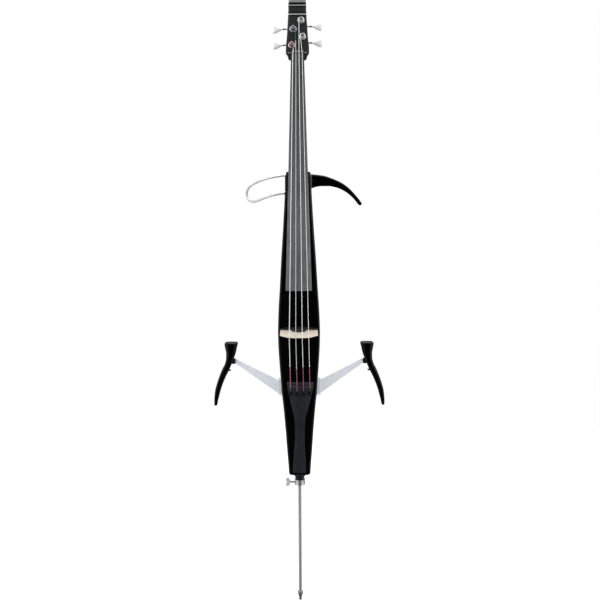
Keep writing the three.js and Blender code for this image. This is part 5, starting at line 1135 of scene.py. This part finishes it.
for name, z in (("tone_knob", TONE_Z), ("volume_knob", VOLUME_Z)):
    line = block((-0.45, out + 8.3, z + 2.0), (0.45, out + 9.05, z + 6.6)).painted(1)
    build(name + "_fluted", knob.moved(TO_BACK, shift(0, 0, z)) + line, [fine_plastic, white_mark],
          name, name, sharp=30)
dot = pin(0.45, 0, 0.12, 10).moved(TO_BACK)
dots = joined(dot.moved(shift(10.6 * math.sin(a), BACK - 0.02, z + 10.6 * math.cos(a)))
              for z in (TONE_Z, VOLUME_Z) for a in (math.radians(-150 + 30 * k) for k in range(11)))
build("dial_dots", dots, white_mark, sharp=40)
toggle = plate([(x, z + SWITCH_Z) for x, z in soft_box(3, 4, 0.8, 3)], BACK + 0.6, BACK + 3.6)
stalk = block((-1.2, 20.9, SWITCH_Z - 3), (1.2, BACK + 1.6, SWITCH_Z + 3))
ribs = [block((-4, BACK + 3.1, SWITCH_Z + d - 0.25), (4, BACK + 5, SWITCH_Z + d + 0.25))
        for d in (-2.4, -1.2, 0, 1.2, 2.4)]
build("switch_cap", toggle + stalk, fine_plastic, "reverb_switch", "reverb_switch", cutters=ribs,
      bevel=0.12, steps=1)
out = BACK + GAP
for name, node, radius, bore, x in (("line_jack_ring", "line_out_jack", 5.5, 3.25, -14),
                                    ("phone_jack_ring", "headphone_jack", 4.2, 1.8, 14)):
    flange = radius + 2
    ring = turned([
        (bore, out - 18), (radius, out - 18), (radius, out), (flange, out), (flange, out + 0.9),
        (flange - 0.6, out + 1.6), (bore + 0.6, out + 1.6), (bore, out + 1.1), (bore, out - 18)], 0.2, 40)
    build(name, ring.moved(TO_BACK, shift(x, 0, JACK_Z)), chrome, replaces=node, sharp=35)

# Battery and circuit board behind the cover
cell = block((-13.25, 8.3, DOOR_LOW + 5), (13.25, 25.8, DOOR_LOW + 53.5))
build("battery_case", cell, cell_skin, replaces="battery", bevel=1.2, steps=3)
snaps = joined(turned([(0, 0), (r, 0), (r * 0.85, 1.6), (r, 2.6), (r * 0.6, 3), (0, 3)], 0.3, 20).moved(
    shift(x, 17, DOOR_LOW + 53.6)) for x, r in ((-6.4, 2.8), (6.4, 3.8)))
build("battery_snaps", snaps, steel, sharp=40)
end = block((-13, 8.6, DOOR_LOW + 50.5), (13, 25.5, DOOR_LOW + 53.7))
build("battery_end", end, fine_plastic, bevel=0.6)
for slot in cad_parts["circuit_board"].material_slots:
    slot.material = mask_green

# Floor, world and soft lights
FLOOR_R = 2.0
floor_mesh = bpy.data.meshes.new("floor")
ring = [(x, y + 0.5, 0) for x, y in oval(0, 0, FLOOR_R, FLOOR_R, 96)]
floor_mesh.from_pydata(ring, [], [tuple(range(96))])
floor_mesh.materials.append(floor_paper)
floor = bpy.data.objects.new("floor", floor_mesh)
bpy.context.scene.collection.objects.link(floor)
floor.visible_glossy = False

# The studio: white where the camera sees it, even for soft light, and for gloss a dark opening towards the
# camera between bright walls
world = bpy.data.worlds.new("studio")
bpy.context.scene.world = world
world.use_nodes = True
sky = world.node_tree
sky.nodes.clear()


def shade(strength):
    return add_node(sky, "Background", "Background", {"Color": (1, 1, 1, 1), "Strength": strength})


def work_out(operation, a, b=0.0):
    return add_node(sky, "Math", "Value", {0: a, 1: b}, operation=operation)


def ramped(value, low, high, first, last):
    return add_node(sky, "MapRange", "Result", {
        "Value": value, "From Min": low, "From Max": high, "To Min": first, "To Max": last},
        interpolation_type="SMOOTHSTEP")


def chosen(switch, off, on):
    return add_node(sky, "MixShader", "Shader", {"Fac": switch, 1: off, 2: on})


path = sky.nodes.new("ShaderNodeLightPath")
generated = sky.nodes.new("ShaderNodeTexCoord").outputs["Generated"]
axis = add_node(sky, "SeparateXYZ", "X", {"Vector": generated}).node.outputs
across = work_out("DIVIDE", axis["X"], 0.2)
upward = work_out("DIVIDE", work_out("ADD", axis["Z"], 0.25), 0.42)
away = work_out("SQRT", work_out("ADD", work_out("MULTIPLY", across, across),
                                 work_out("MULTIPLY", upward, upward)))
front = work_out("ADD", ramped(away, 1.0, 2.1, 0.015, 0.5), ramped(axis["Y"], -0.85, -0.3, 0.0, 0.5))
behind = ramped(axis["Y"], 0.0, 0.45, 0.0, 1.0)
wall = ramped(axis["Z"], -0.1, 0.9, 0.07, 0.65)
round_about = work_out("ADD", work_out("MULTIPLY", front, work_out("SUBTRACT", 1.0, behind)),
                       work_out("MULTIPLY", wall, behind))
gloss = work_out("MULTIPLY", round_about, ramped(axis["Z"], -0.7, -0.1, 0.3, 1.0))
dressed = chosen(path.outputs["Is Glossy Ray"], shade(0.8), shade(gloss))
surface = sky.nodes.new("ShaderNodeOutputWorld")
set_sockets(sky, surface, {"Surface": chosen(path.outputs["Is Camera Ray"], dressed, shade(1.0))})


def soft_light(name, place, height, size, power):
    """A round light that looks at the instrument's axis at a height."""
    data = bpy.data.lights.new(name, "AREA")
    data.shape, data.size, data.energy = "DISK", size, power
    o = bpy.data.objects.new(name, data)
    bpy.context.scene.collection.objects.link(o)
    place, aim = Vector(place), Vector((0, 0, height))
    o.matrix_world = Matrix.Translation(place) @ (aim - place).to_track_quat("-Z", "Y").to_matrix().to_4x4()


soft_light("key", (-2.3, -2.4, 2.6), 0.9, 2.0, 34)
soft_light("fill", (2.6, -2.2, 1.7), 0.8, 2.0, 18)
soft_light("overhead", (0, 0.1, 3.6), 0.9, 2.4, 52)
soft_light("back_left", (-2.2, 2.2, 1.9), 0.8, 1.8, 18)
soft_light("back_right", (2.2, 2.2, 1.9), 0.8, 1.8, 18)

view = bpy.context.scene.view_settings
view.view_transform, view.look = "Standard", "None"
view.exposure, view.gamma = 0.0, 1.0

bpy.context.view_layer.update()
